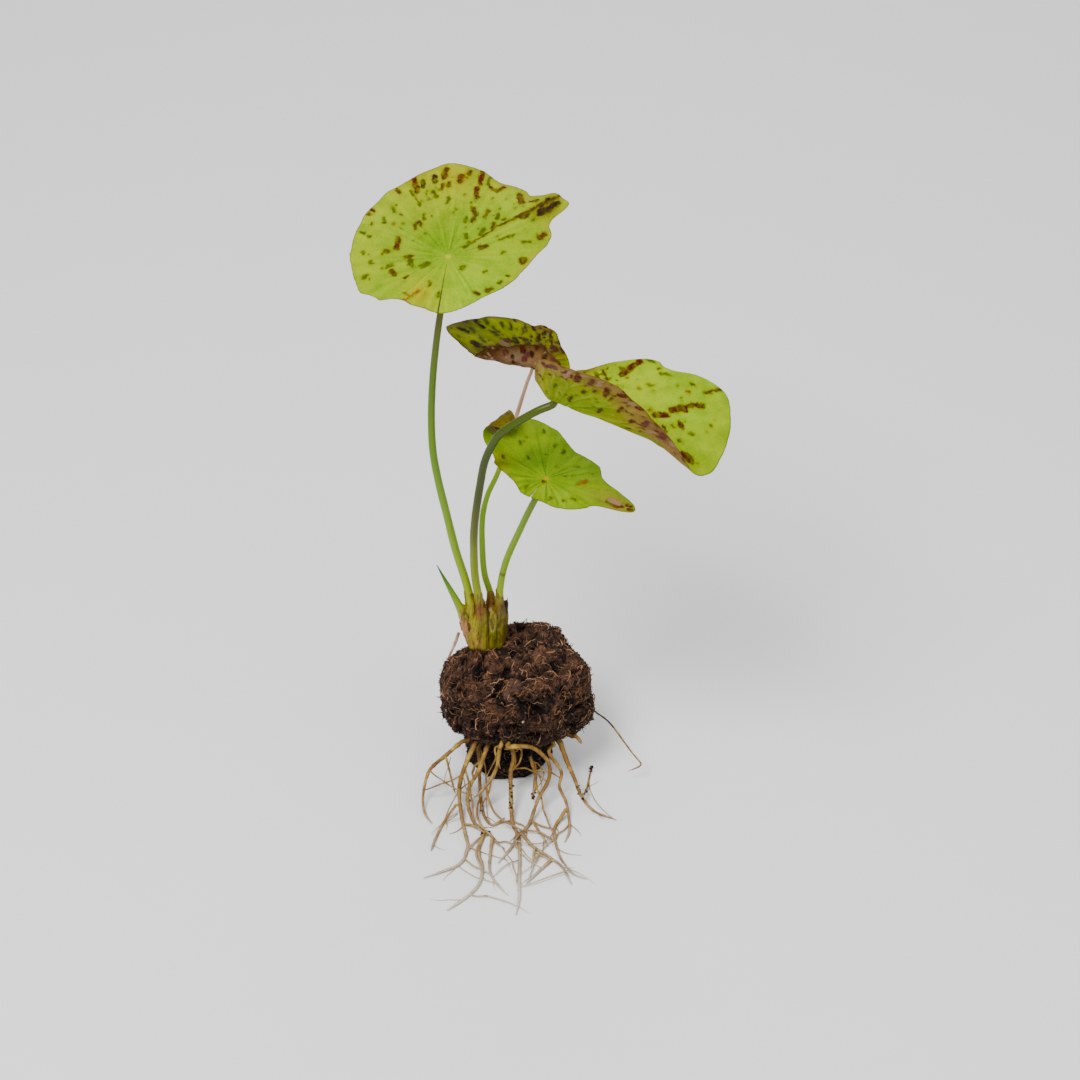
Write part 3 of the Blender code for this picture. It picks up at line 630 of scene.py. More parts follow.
def blade_material(name, look):
    """A leaf's skin: blotched green, a fine net, pale veins, dark flecks and a thin edge line."""
    g = Graph(name, 0.5, specular=0.05)
    vein_colour, edge_colour = tuple(ink(look["vein"])), tuple(ink(look["edge"]))
    flat = g.flat()
    blotch = g.step(g.noise(flat, 14, 7, 0.68), 0.42, 0.64)
    grain = g.noise(flat, 170, 4, 0.65)
    colour = g.tinged(g.maths("MULTIPLY", blotch, 0.7), g.attribute("paint", "Color"),
                      (0.62, 0.74, 0.40))
    colour = g.tinged(g.step(grain, 0.40, 0.72, 0.0, 0.22), colour, (1.30, 1.18, 0.8))
    colour = g.tinged(g.step(grain, 0.52, 0.34, 0.0, 0.35), colour, (0.66, 0.70, 0.5))
    net = g.step(g.cells(flat, 78), 0.02, 0.10, 1.0, 0.0)
    colour = g.mix(g.maths("MULTIPLY", net, 0.10), colour, vein_colour)
    vein = g.step(g.attribute("vein", "Fac"), -0.25, 0.10)
    colour = g.mix(g.maths("MULTIPLY", vein, look["vein_strength"]), colour, vein_colour)
    ragged = g.maths("MULTIPLY_ADD", g.noise(flat, 95, 4, 0.6), 1.3, -0.65)
    fleck = g.maths("ADD", g.attribute("fleck", "Fac"), ragged)
    colour = g.tinged(g.step(fleck, -1.0, 0.0, 0.0, 0.42), colour, (0.62, 0.58, 0.42))
    thin = g.step(g.noise(flat, 50, 4), 0.32, 0.60, 0.62, 1.0)
    colour = g.mix(g.maths("MULTIPLY", g.step(fleck, -0.38, 0.30), thin), colour,
                   g.attribute("ink", "Color"))
    edge = g.maths("ADD", g.attribute("edge", "Fac"), g.maths("MULTIPLY", ragged, 0.4))
    colour = g.mix(g.step(edge, 0.0, 0.45, 0.6, 0.0), colour, edge_colour)
    height = g.maths("ADD", g.maths("MULTIPLY", net, -0.35), g.maths("MULTIPLY", grain, 0.6))
    return g.finish(colour, height, 0.35, 0.12, g.step(blotch, 0.0, 1.0, 0.42, 0.56))


def stem_material():
    """A smooth stalk with fine lengthwise streaks and faint freckles."""
    g = Graph("stem", 0.38, specular=0.25)
    flat = g.flat()
    streak = g.noise(g.stretched(flat, (14.0, 9.0, 1.0)), 3.0, 4, 0.6)
    colour = g.tinged(g.step(streak, 0.42, 0.72, 0.0, 0.55), g.attribute("paint", "Color"),
                      (0.60, 0.68, 0.45))
    freckle = g.step(g.cells(g.stretched(flat, (9.0, 60.0, 1.0)), 1.6, "F1"), 0.10, 0.22, 0.4, 0.0)
    colour = g.mix(freckle, colour, tuple(ink("#4a3a16")))
    return g.finish(colour, streak, 0.35, 0.10)


def earth_material():
    """Damp peat: near black in the pits as painted shade, brown on the crumbs, with pale specks."""
    g = Graph("earth", 0.93, specular=0.25)
    here = g.place()
    lump = g.noise(here, 900, 8, 0.7)
    colour = g.tinged(g.step(lump, 0.45, 0.72, 0.0, 0.75), g.attribute("paint", "Color"),
                      (2.3, 2.0, 1.8))
    strand = g.noise(g.stretched(here, (1.0, 1.0, 0.22)), 1500, 4, 0.6)
    colour = g.mix(g.step(strand, 0.60, 0.75, 0.0, 0.5), colour, tuple(ink("#6b4a38")))
    speck = g.step(g.cells(here, 420, "F1"), 0.05, 0.12, 0.7, 0.0)
    colour = g.mix(g.maths("MULTIPLY", speck, g.step(g.noise(here, 300, 2), 0.58, 0.66)), colour,
                   tuple(ink("#a08a78")))
    return g.finish(colour, g.maths("ADD", lump, g.maths("MULTIPLY", strand, 0.6)), 1.0, 0.8)


def strand_material():
    """Roots and fibres: their own colour with a fine grain and dark dirt."""
    g = Graph("strand", 0.62, specular=0.35)
    here = g.place()
    grain = g.noise(here, 1400, 4, 0.65)
    colour = g.tinged(g.step(grain, 0.42, 0.7, 0.0, 0.6), g.attribute("paint", "Color"),
                      (0.55, 0.50, 0.42))
    dirt = g.step(g.noise(here, 330, 5, 0.65), 0.60, 0.70, 0.0, 0.65)
    colour = g.mix(dirt, colour, tuple(ink("#4a3222")))
    return g.finish(colour, grain, 0.5, 0.12)


# The blades

# The depth of a point in the flecks or veins is at least minus this.
FAR = 9.0
FLECK_WIDTH = 0.80
FLECK_WANDER = 0.5
SPECK_WIDTHS = (0.3, 0.9)
SPECK_LENGTHS = (0.2, 1.5)
LEAF_SHADE = 0.92
WANDER_LENGTH = 6.0
RAY_STRENGTH = 0.16
RAY_DEGREES = 3.5
WEDGE_TINT = (0.42, 0.64, 0.42)
WEDGE_DEGREES = 6.5
WEDGE_REACH = 13.0
BAND_EDGE = 8
VEIN_HALF = 0.30
VEIN_STEPS = 6
VEIN_TAPER = 0.45
# How far out the first and the second forks of a vein end, as shares of the margin's distance.
FORK_ENDS = (0.78, 0.97)
RIB_HALF = 0.9
RIB_HEIGHT = 0.34
SHEET_HALF = 0.20
MARGIN_THINNING = 0.12
PUFF_HEIGHT = 0.10
PUFF_LENGTH = 3.2
MARGIN_WOBBLE = 0.16
WOBBLE_DEGREES = 2.5
# Below 1 this sets the rows of points closer together towards the margin.
ROW_SPREAD = 0.9
HUB_REACH = 1.15
INKS = {"OLIVE": "#4a5408", "BROWN": "#4a300c", "RED": "#4e1c10", "DARK": "#2a1608",
        "ORANGE": "#7e5408", "TAN": "#9c7e66", "PURPLE": "#5a2c2c"}

# The flecks of each blade by ink: both ends of a stroke and its half width, in the flat blade
# with the stalk at its origin and the far end along x.
UPPER_FLECKS = {
    "BROWN": (
        (0, 18.5, 0, 19.5, 0.8), (-1.5, 12.5, -1, 11, 0.9), (-10, 11.5, -9, 11, 0.8),
        (-8.5, 15, -7.5, 16, 1.1), (-11, -13.5, -10, -14.5, 0.9), (2, -22, 2.5, -23, 1.2),
        (4.5, -9, 5.5, -11, 0.9), (15, -5, 18, -6, 0.9), (18, -6, 20.5, -4.5, 1.0),
        (17.5, -8.5, 20.5, -9.5, 0.7), (13, -11.5, 15, -12, 0.7), (18.5, -20, 19, -21, 1.5),
        (25, -22, 25.5, -23.5, 0.8), (34, -1, 35.5, -1.5, 0.8), (27, 6, 29, 6, 0.8),
        (28.5, 4.5, 30, 4, 0.8), (32, 6, 35.5, 6, 1.1), (25, 19, 26.5, 20, 0.7),
        (10, 11.5, 12.5, 12, 0.6), (12.5, 12, 13.5, 11, 0.6), (13.5, 11, 12, 10, 0.6),
        (-12, -10, -12.5, -11, 0.8), (10.5, 25, 11, 25, 0.5), (-4, -18.5, -4, -19, 0.5),
        (6, -6, 13, -12.5, 0.4), (13, -12.5, 20.5, -21, 0.6), (20.5, -21, 28, -30, 0.8)),
    "RED": (
        (1.5, 16, 5.5, 16, 1.0), (24.5, -19, 27.5, -18, 1.3), (25, -5, 29, -4.5, 1.0),
        (31, -5, 36, -5.5, 1.0), (30, -8.5, 28.5, -11, 0.8), (28.5, -11, 31, -12.5, 0.7),
        (31, 1, 33, 1, 1.3), (25.5, 13.5, 28.5, 14.5, 1.1), (29.5, 15, 32.5, 16, 0.9),
        (16.5, 25.5, 17.5, 26.5, 0.8), (15, 26.5, 15.5, 27, 0.6), (11, -26.5, 12, -27.5, 1.2)),
    "DARK": (
        (20.5, -25.5, 21.5, -27, 1.8), (22.5, -28, 25, -30, 1.4), (30, 8.5, 32, 9, 1.0),
        (28, 12, 30, 12.5, 0.9), (23, -25, 27, -27, 0.7)),
    "OLIVE": (
        (-5, 16.5, -6, 17.5, 0.9), (-4.5, 10.5, -2.5, 11, 1.0), (-11.5, 4, -10.5, 4, 0.7),
        (-15, 1, -13.5, 0.5, 0.5), (-4.5, 7, -3.5, 6, 1.2), (-4, -4.5, -3, -5.5, 0.7),
        (-4, -11.5, -3.5, -12, 0.6), (-7.5, -16.5, -6.5, -17, 0.7), (3.5, -16, 4, -16.5, 0.6),
        (4.5, -4.5, 6, -5.5, 0.9), (8, -4.5, 9.5, -4, 0.7), (14.5, -3, 16.5, -3, 0.7),
        (10, -8.5, 12, -9, 0.7), (17, -12.5, 19, -12.5, 0.7), (16.5, -14.5, 17, -15, 0.5),
        (8.5, -14.5, 10.5, -18.5, 0.5), (8.5, -21.5, 9, -23.5, 0.6), (17, -23.5, 17.5, -24, 0.6),
        (21.5, 3.5, 24, 3.5, 0.7), (24, 7.5, 26, 8.5, 0.8), (22.5, 9.5, 23, 9.5, 0.5),
        (16.5, 19, 19, 20, 0.6), (12, 21.5, 14, 22, 0.7), (6.5, 26.5, 7, 28, 0.6),
        (14.5, 9.5, 16.5, 10, 0.6), (20, 11.5, 26, 15.5, 0.4), (-9.5, 23.5, -10.5, 24, 0.9),
        (31, -7.5, 35, -8, 0.6), (-1.5, 25.5, -1, 26, 0.6), (-4, 23, -5, 23, 0.6),
        (5, 25, 5.5, 25, 0.7)),
    "ORANGE": (
        (-18.5, 10.5, -14, 6.5, 0.45), (-15.5, 11, -16.5, 8.5, 0.4), (-19.5, 9, -18, 10.8, 0.5),
        (33, 0.5, 34, 0, 0.7), (11.5, 18.5, 12, 18.5, 0.5)),
}
FOLDED_TOP_FLECKS = {
    "RED": ((15.5, 17, 17.5, 20.5, 1.3), (17.5, 20.5, 19, 23.5, 1.2), (14.5, 18.5, 16, 19, 0.7),
            (34, 12, 37.5, 14.5, 1.5), (39, 16.5, 42.5, 18.5, 1.0), (30, 8, 33, 9.5, 1.2),
            (38, 9, 39, 8.5, 1.1), (37.5, 14.5, 39, 16.5, 0.7), (43, 0.5, 46, 0.5, 1.6)),
    "BROWN": ((9.5, 15.5, 12, 13, 0.6), (41.5, 23, 43, 24, 0.8), (8, 13.5, 10, 12, 0.6),
              (33.5, 5.5, 34.5, 5, 0.7), (47, 14, 47.5, 14, 0.6), (44, 25, 46, 27, 0.5)),
    "OLIVE": ((24, 17, 25, 17, 0.6), (36, 23, 37, 23, 0.6), (42, 8, 43, 8, 0.7),
              (40, 4, 41, 4, 0.7), (26, 22, 29, 23, 0.5), (20, 25, 23, 25, 0.5)),
    "ORANGE": ((36, 20, 36.5, 20, 0.7), (28, 9, 28.5, 9, 0.6), (22, 14.5, 22.5, 14.5, 0.5)),
}
FOLDED_UNDER_FLECKS = {
    "RED": ((15.5, -21.5, 16, -26.5, 1.1), (6, -24, 6.5, -28, 1.4), (31.5, -20.5, 32.5, -21, 0.9),
            (20, -25, 22, -27, 1.2), (26, -22, 28, -23.5, 1.1), (25, -12, 26, -13.5, 0.9)),
    "PURPLE": ((-4.5, -25, -1.5, -26.5, 1.4), (35.5, -11, 36.5, -14, 1.5),
               (10.5, -25, 11, -29, 0.9), (45, -8, 46.5, -9.5, 1.8), (29, -12.5, 30, -16.5, 1.1),
               (2, -26, 3, -28, 1.0), (38, -14, 40, -15.5, 1.0), (33, -17, 35, -18, 1.1)),
    "BROWN": ((5, -9, 5.5, -12, 0.7), (14.5, -8.5, 15.5, -12, 0.8), (8.5, -17.5, 9, -19.5, 0.8),
              (20.5, -14.5, 21.5, -18, 0.6), (12, -21, 12.5, -23, 0.6), (21.5, -18, 24, -17, 0.4),
              (17, -19, 18, -22, 0.4), (28, -8, 29, -9, 0.5), (24, -6, 25, -6.5, 0.5)),
    "TAN": ((2.5, -24, 3.5, -28, 1.3), (7.5, -29, 9, -30, 1.0), (39, -11, 41, -13, 1.3),
            (31, -10, 33, -12, 1.0), (13, -27, 13.5, -30, 1.0), (23, -22, 25, -24, 1.0)),
    "OLIVE": ((23, -20.5, 23.5, -22, 0.5), (23, -24.5, 24, -25, 0.7), (0, -14, 0, -16, 0.5)),
}
TWISTED_FLECKS = {
    "DARK": ((17.5, -12.5, 20, -15, 0.8), (15, -2.5, 16, -3, 1.1), (18, -3.5, 19.5, -4.5, 1.5),
             (-2, -15, -2.5, -16.5, 0.9), (6, -8.5, 7, -9.5, 1.1), (22, -9, 25, -10, 0.8),
             (-7, -12, -8, -14, 0.9), (1, -16, 2, -17.5, 0.6)),
    "BROWN": ((-0.5, -11, -0.5, -14, 0.7), (-4.5, -12.5, -4, -17, 0.8), (1.5, -7, 3.5, -10, 1.0),
              (11, -5, 12, -5.5, 1.1), (-1.5, -5, -0.5, -6, 1.5), (12.5, -10, 14, -11, 0.6),
              (4.5, -13, 5, -15, 0.6), (-9, -8, -8, -10, 1.0), (23, -14, 25, -15, 0.6)),
    "RED": ((-6.5, -8.5, -5.5, -9.5, 1.4), (-3, -8, -1.5, -9.5, 0.9), (3, -5, 4, -6, 1.0)),
    "PURPLE": ((8.5, -8.5, 9.5, -8.5, 1.2), (5, -6, 6, -6, 1.0), (12.5, -3, 13.5, -3.5, 1.2)),
    "TAN": ((9.5, -6, 10.5, -7, 1.3), (6.5, -4, 8, -5, 1.4), (2.5, -3, 4, -3.5, 1.2),
            (-4, -5, -3, -6, 1.0)),
    "OLIVE": ((16.5, -6, 17.5, -7.5, 0.7), (12.5, -11.5, 14, -13.5, 0.6),
              (8.5, -13.5, 9, -15.5, 0.6), (20, -9.5, 21.5, -11, 0.6), (4, -15, 4.5, -17, 0.6),
              (21, -15.5, 22, -16.5, 0.7), (16, -14.5, 17, -16, 0.6), (11, -14, 12, -16, 0.5)),
}
LOWER_FLECKS = {
    "OLIVE": ((13, 1.5, 14, 1.5, 0.7), (14, 5, 14.5, 5, 0.6), (-7.5, -5.5, -6.5, -5.5, 0.6),
              (-7.5, 3, -6.5, 3, 0.6), (10.5, -5, 11, -5.5, 0.5), (4, 9, 4.5, 9.5, 0.5),
              (3, -20.5, 3, -21.5, 0.6), (8, 14, 9, 15, 0.5), (17, 11, 18, 11.5, 0.6),
              (-2.5, -11, -2, -12, 0.6), (-5, -9, -4.5, -9.5, 0.5)),
    "BROWN": ((-2, 0, -1.5, 0, 0.6), (-0.5, 15.5, 0, 16, 0.7), (9, 24.5, 12, 20.5, 1.2)),
    "ORANGE": ((5.5, -10, 6.5, -10.5, 1.0), (4, -9, 4.5, -9.5, 0.5)),
    "RED": ((3, -23, 4, -25, 0.8), (5.5, -26, 6, -27.5, 0.7), (4.5, -27.5, 5, -28.5, 0.5)),
    "TAN": ((6, 27, 8, 20.5, 1.0), (4.5, -21, 5, -24, 1.0)),
}

# How each blade looks. ripples: angle, height and half width in degrees of each bump or notch
# of the margin. quilt: how far it puffs up between its veins. washes: place, reach both ways,
# colour and strength of a soft patch. bands: angles from and to, shares of the radius where it
# starts and is full, colour and strength. specks: how many small flecks, their angles, shares
# of the radius, size and inks.
LOOKS = {
    "upper_leaf": dict(
        seed=3, columns=420, rows=84, veins=17, quilt=0.16, vein_strength=0.10,
        ripples=((42, 1.0, 6), (137, 1.2, 3), (128, -0.5, 2), (-37, -1.2, 2.5), (-27, 0.6, 5),
                 (-54, 0.5, 3), (-62, -0.6, 3), (-75, 0.6, 5), (-95, -0.4, 5), (-120, 0.7, 12),
                 (158, 0.6, 6), (15, -0.5, 5), (-8, 0.5, 5), (96, 0.4, 4), (70, -0.4, 5)),
        vein="#c4d63c", edge="#5e4a14", hub="#d2c844",
        top=dict(
            base="#a6b806",
            washes=((26, 12, 14, 12, "#acb406", 0.8), (2, 22, 16, 8, "#a6ba0a", 0.7),
                    (4, 4, 11, 9, "#74991a", 0.9), (-12, -9, 11, 12, "#a6c41c", 0.85),
                    (-3, -19, 12, 8, "#a2be16", 0.75), (18, -19, 8, 8, "#98b21c", 0.6),
                    (33, 3, 6, 10, "#a89c08", 0.6), (-15, 6, 5, 4, "#bcae12", 0.75),
                    (13, -6, 8, 6, "#84a820", 0.6), (10, 15, 8, 5, "#90aa14", 0.5),
                    (-15, 17, 4, 5, "#8fae28", 0.7), (24, -28, 5, 3, "#6e6414", 0.85),
                    (21, -25, 4, 4, "#6a4a14", 0.6)),
            bands=((-60, 40, 0.93, 1.0, "#8a6a14", 0.30), (-120, -60, 0.92, 1.0, "#b39a5a", 0.4)),
            flecks=UPPER_FLECKS,
            specks=((34, -60, 120, 0.35, 0.95, 0.34, ("OLIVE", "BROWN")),
                    (14, -40, 40, 0.6, 0.97, 0.40, ("RED", "BROWN")))),
        under=dict(
            base="#8a9a3c",
            washes=((0, 0, 20, 20, "#98a650", 0.5), (20, 10, 14, 14, "#94804a", 0.35)),
            bands=((-180, 180, 0.8, 1.0, "#8a6e4a", 0.4),),
            flecks={}, specks=((60, -170, 170, 0.2, 0.95, 0.5, ("BROWN", "PURPLE")),))),
    "lower_leaf": dict(
        seed=8, columns=330, rows=70, veins=15, quilt=0.14, vein_strength=0.14,
        ripples=((20, 0.5, 4), (-5, -0.4, 5), (-35, 0.4, 5), (-50, -0.3, 4), (105, 0.5, 3),
                 (120, -0.4, 4), (-140, 0.4, 8), (160, 0.4, 8)),
        vein="#b0c636", edge="#5e4c18", hub="#d0a020",
        top=dict(
            base="#88a60a",
            washes=((12, 14, 8, 9, "#a2ba0c", 0.85), (12, 0, 8, 8, "#7e9c0a", 0.7),
                    (-5, -8, 7, 9, "#a2bc20", 0.75), (-8, 3, 6, 8, "#a8ba24", 0.6),
                    (4, -22, 4, 6, "#9a7c4e", 0.9), (6, -16, 6, 5, "#94a23c", 0.7),
                    (-2, 17, 4, 4, "#a89c44", 0.65), (6, 7, 6, 6, "#6a900c", 0.6)),
            bands=((60, 100, 0.62, 0.85, "#8a9a14", 0.5), (100, 150, 0.86, 1.0, "#a8864a", 0.35)),
            flecks=LOWER_FLECKS,
            specks=((12, -90, 90, 0.3, 0.95, 0.26, ("OLIVE",)),)),
        under=dict(
            base="#86902c",
            washes=((2, 24, 9, 9, "#7e6224", 0.75), (0, 0, 12, 12, "#909a3c", 0.4)),
            bands=((55, 110, 0.6, 0.85, "#6e5020", 0.55), (-180, 180, 0.85, 1.0, "#8e6a40", 0.4)),
            flecks={}, specks=((60, 50, 115, 0.55, 1.0, 0.7, ("BROWN", "OLIVE", "RED")),
                               (20, -150, 60, 0.2, 0.95, 0.4, ("BROWN",))))),
    "folded_leaf": dict(
        seed=5, columns=400, rows=84, veins=15, quilt=0.16, vein_strength=0.13,
        ripples=((47, 0.6, 3), (38, -0.5, 2), (28, 0.6, 4), (12, -0.4, 4), (2, 0.8, 3),
                 (-20, 0.6, 4), (-32, -0.5, 3), (-48, -1.2, 6), (-70, 0.5, 5), (-88, -0.4, 4),
                 (75, 0.5, 5), (-10, -0.6, 2)),
        vein="#b8ce36", edge="#5a3c18", hub="#c0a040",
        top=dict(
            base="#b0c804",
            washes=((22, 14, 9, 5, "#bccc06", 0.85), (40, 14, 8, 8, "#a8c60c", 0.8),
                    (14, 18, 6, 4, "#9ab212", 0.7), (34, 22, 9, 5, "#a0ba14", 0.6),
                    (4, 8, 8, 6, "#7c9014", 0.7), (20, -20, 18, 12, "#8aa418", 0.5),
                    (30, 6, 8, 3, "#98a824", 0.5), (52, 12, 5, 12, "#a4b848", 0.5)),
            bands=((-118, -10, 0.9, 1.0, "#8e5e2c", 0.5), (60, 140, 0.55, 0.9, "#7a4a34", 0.7)),
            flecks=FOLDED_TOP_FLECKS,
            specks=((30, 0, 80, 0.4, 0.95, 0.32, ("OLIVE", "BROWN")),
                    (10, 0, 60, 0.6, 0.95, 0.4, ("RED",)),
                    (40, -110, -10, 0.3, 0.95, 0.5, ("RED", "BROWN")))),
        under=dict(
            base="#a8a81c",
            washes=((8, -8, 10, 8, "#84a024", 0.85), (4, -19, 8, 6, "#8a9a34", 0.7),
                    (26, -8, 12, 5, "#8e9640", 0.7), (30, -12, 9, 6, "#9c8c54", 0.7),
                    (14, -14, 6, 6, "#8aa632", 0.6)),
            bands=((-125, -5, 0.62, 0.90, "#96744c", 0.8), (-100, -40, 0.84, 0.98, "#8e6250", 0.5),
                   (-30, -5, 0.70, 0.95, "#824e46", 0.6)),
            flecks=FOLDED_UNDER_FLECKS,
            specks=((30, -110, -10, 0.3, 0.95, 0.34, ("BROWN", "OLIVE")),
                    (26, -110, -10, 0.7, 0.98, 0.7, ("RED", "PURPLE")),
                    (40, 10, 130, 0.3, 0.95, 0.5, ("BROWN", "PURPLE"))))),
    "twisted_leaf": dict(
        seed=12, columns=330, rows=64, veins=15, quilt=0.20, vein_strength=0.10,
        ripples=((-110, 0.6, 4), (-100, -0.5, 3), (-85, -0.7, 4), (-70, 0.4, 4), (-40, -0.6, 5),
                 (-18, 0.4, 3), (-8, -0.6, 3), (30, 0.5, 5), (60, -0.4, 5), (90, 0.5, 5),
                 (120, 0.5, 5)),
        vein="#94a62c", edge="#3c2410", hub="#a8683c",
        top=dict(
            base="#bcc40e",
            washes=((10, -12, 9, 5, "#b4be12", 0.8), (20, -11, 5, 4, "#9aa412", 0.7),
                    (-4, -15, 4, 5, "#c0ca14", 0.8), (-1, -18, 4, 3, "#a87416", 0.8),
                    (6, -5, 9, 4, "#8c6438", 0.85), (24, -12, 5, 4, "#5c4814", 0.7),
                    (-3, -6, 6, 5, "#7e5626", 0.75), (14, -2, 7, 3, "#6a481e", 0.85),
                    (-9, -9, 4, 6, "#6e5a1a", 0.6)),
            bands=((-60, 0, 0.90, 1.0, "#46300e", 0.7), (-130, -60, 0.91, 1.0, "#5c3a14", 0.7),
                   (0, 60, 0.80, 0.95, "#7a5038", 0.8)),
            flecks=TWISTED_FLECKS,
            specks=((40, -120, 0, 0.3, 0.97, 0.34, ("OLIVE", "BROWN", "BROWN")),
                    (30, -130, -60, 0.5, 0.97, 0.5, ("BROWN", "RED")))),
        under=dict(
            base="#846444",
            # Painted highlight: the small pale wash at (7, 12) below.
            washes=((0, 12, 14, 5, "#8e6854", 0.7), (7, 12, 3.5, 2, "#b89c88", 0.7),
                    (-6, 4, 6, 8, "#8a7424", 0.6), (14, 11, 6, 5, "#5a2e24", 0.8)),
            bands=((20, 150, 0.84, 1.0, "#54301e", 0.75),),
            flecks={},
            specks=((56, 15, 150, 0.45, 1.0, 0.85, ("RED", "PURPLE", "DARK")),
                    (30, 15, 150, 0.45, 1.0, 0.45, ("TAN",)),
                    (30, -150, 0, 0.3, 0.95, 0.5, ("BROWN", "RED"))))),
}


def on_circle(radius, degrees):
    """A place at an angle on a circle."""
    return radius * math.cos(math.radians(degrees)), radius * math.sin(math.radians(degrees))


def capsule_field(points, capsules):
    """How deep each point lies inside the nearest capsule, less than 0 outside, and which it is."""
    best = np.full(len(points), -FAR)
    which = np.zeros(len(points), dtype=int)
    for k, (x0, y0, x1, y1, half) in enumerate(capsules):
        run = np.array((x1 - x0, y1 - y0))
        off = points - (x0, y0)
        along = np.clip(off @ run / max(run @ run, 1e-6), 0, 1)
        away = np.hypot(off[:, 0] - along * run[0], off[:, 1] - along * run[1])
        field = half - away
        better = field > best
        best[better] = field[better]
        which[better] = k
    return best, which


def vein_capsules(blade, count, rng):
    """Veins that spread from the stalk's end and fork twice on the way to the margin."""
    outline = blade["outline"]
    first, last = outline[0][0], outline[-1][0]
    out = []

    def grow(angle, end_angle, low, high, half, level):
        places = []
        for t in np.arange(VEIN_STEPS + 1) / VEIN_STEPS:
            at = min(max(angle + (end_angle - angle) * t * t, first + 0.5), last - 0.5)
            places.append(on_circle(margin_radius(outline, at) * (low + (high - low) * t), at))
        for i, (start, end) in enumerate(zip(places, places[1:])):
            out.append((*start, *end, half * (1 - VEIN_TAPER * i / VEIN_STEPS)))
        if level < len(FORK_ENDS):
            spread_by = rng.uniform(4.5, 7.5) / (1 + 0.5 * level)
            for side in (-1, 1):
                grow(end_angle, end_angle + side * spread_by, high,
                     FORK_ENDS[level] + rng.uniform(-0.02, 0.02), half * 0.55, level + 1)

    for i in range(count):
        angle = first + (last - first) * (i + 0.5) / count + rng.uniform(-2.5, 2.5)
        grow(angle, angle + rng.uniform(-3, 3), 0.0, rng.uniform(0.46, 0.58), VEIN_HALF, 0)
    return out


def blade_grid(blade, look):
    """The flat blade as columns of points round the stalk and rows out to the margin: the angle
    and the margin's distance of each column, each row's share of the way out, and the places."""
    outline = blade["outline"]
    angles = np.linspace(outline[0][0], outline[-1][0], look["columns"] + 1)
    reaches = np.array([margin_radius(outline, angle) for angle in angles])
    for at, height, wide in look["ripples"]:
        reaches += height * bump(angles, at, wide)
    reaches += MARGIN_WOBBLE * soft_noise([(a / WOBBLE_DEGREES, look["seed"]) for a in angles],
                                          1.0)
    shares = np.linspace(0, 1, look["rows"] + 1) ** ROW_SPREAD
    turn = np.radians(angles)
    flat = np.stack([np.outer(reaches * np.cos(turn), shares),
                     np.outer(reaches * np.sin(turn), shares)], -1)
    return angles, reaches, shares, flat


def bent_sheet(blade, angles, shares, flat):
    """The middle of the sheet, waved, bent and set on its stalk, and its normals."""
    sheet = np.empty((*flat.shape[:2], 3))
    for i, turn in enumerate(np.radians(angles)):
        for j, share in enumerate(shares):
            point = Vector((*flat[i, j], 0))
            point.z = sum(size * share ** 3 * math.sin(count * turn + math.radians(shift))
                          for count, size, shift in blade["waves"])
            for bend in blade["bends"]:
                point = bent(point, *bend)
            sheet[i, j] = Vector(blade["at"]) + turned(blade, point)
    up = np.array(turned(blade, Vector((0, 0, 1))))
    normal = np.cross(np.gradient(sheet, axis=1), np.gradient(sheet, axis=0))
    normal[:, 0] = up
    normal /= np.maximum(np.linalg.norm(normal, axis=2, keepdims=True), 1e-9)
    if normal[len(angles) // 2, 2] @ up < 0:
        normal = -normal
        normal[:, 0] = up
    return sheet, normal


def surface_heights(look, reaches, shares, flat, veins):
    """How far above the middle of the sheet its upper and its lower surface lie: puffed up
    between the veins, thin at the margin, and with ribs below."""
    spots = flat.reshape(-1, 2)
    grid = (*flat.shape[:2], 1)
    wide, _ = capsule_field(spots, [(*vein[:4], RIB_HALF) for vein in veins])
    ridge = smoothstep(0.0, RIB_HALF, wide).reshape(grid)
    share = np.broadcast_to(shares[None, :, None], grid)
    hub = np.hypot(spots[:, 0], spots[:, 1]).reshape(grid)
    margin = np.outer(reaches, 1 - shares)[..., None]
    half = SHEET_HALF - MARGIN_THINNING * smoothstep(0.8, 1.0, share)
    puff = PUFF_HEIGHT * soft_noise(spots, PUFF_LENGTH, look["seed"]).reshape(grid)
    lift = look["quilt"] * (1 - ridge) * smoothstep(0.1, 0.4, share) + puff
    lift = lift * smoothstep(0.0, 2.0, margin)
    ribs = RIB_HEIGHT * ridge * (1 - 0.8 * share) * smoothstep(0.5, 2.0, hub)
    return half + lift, lift - half - ribs


def sheet_faces(columns, rows):
    """The faces of a closed sheet of two layers. The points of a layer are the hub and then a
    run of points out to the margin for each column."""
    layer = (columns + 1) * rows + 1

    def index(side, i, j):
        return side * layer + (1 + i * rows + j - 1 if j else 0)

    faces = []
    for i in range(columns):
        for j in range(rows):
            for side in (0, 1):
                face = [index(side, i, j), index(side, i, j + 1), index(side, i + 1, j + 1),
                        index(side, i + 1, j)]
                if j == 0:
                    face.pop()
                faces.append(tuple(face if side == 0 else face[:1] + face[:0:-1]))
        faces.append((index(0, i, rows), index(1, i, rows), index(1, i + 1, rows),
                      index(0, i + 1, rows)))
    for i, flip in ((0, True), (columns, False)):
        for j in range(rows):
            quad = (index(0, i, j), index(1, i, j), index(1, i, j + 1), index(0, i, j + 1))
            faces.append(quad if flip else quad[::-1])
    return faces


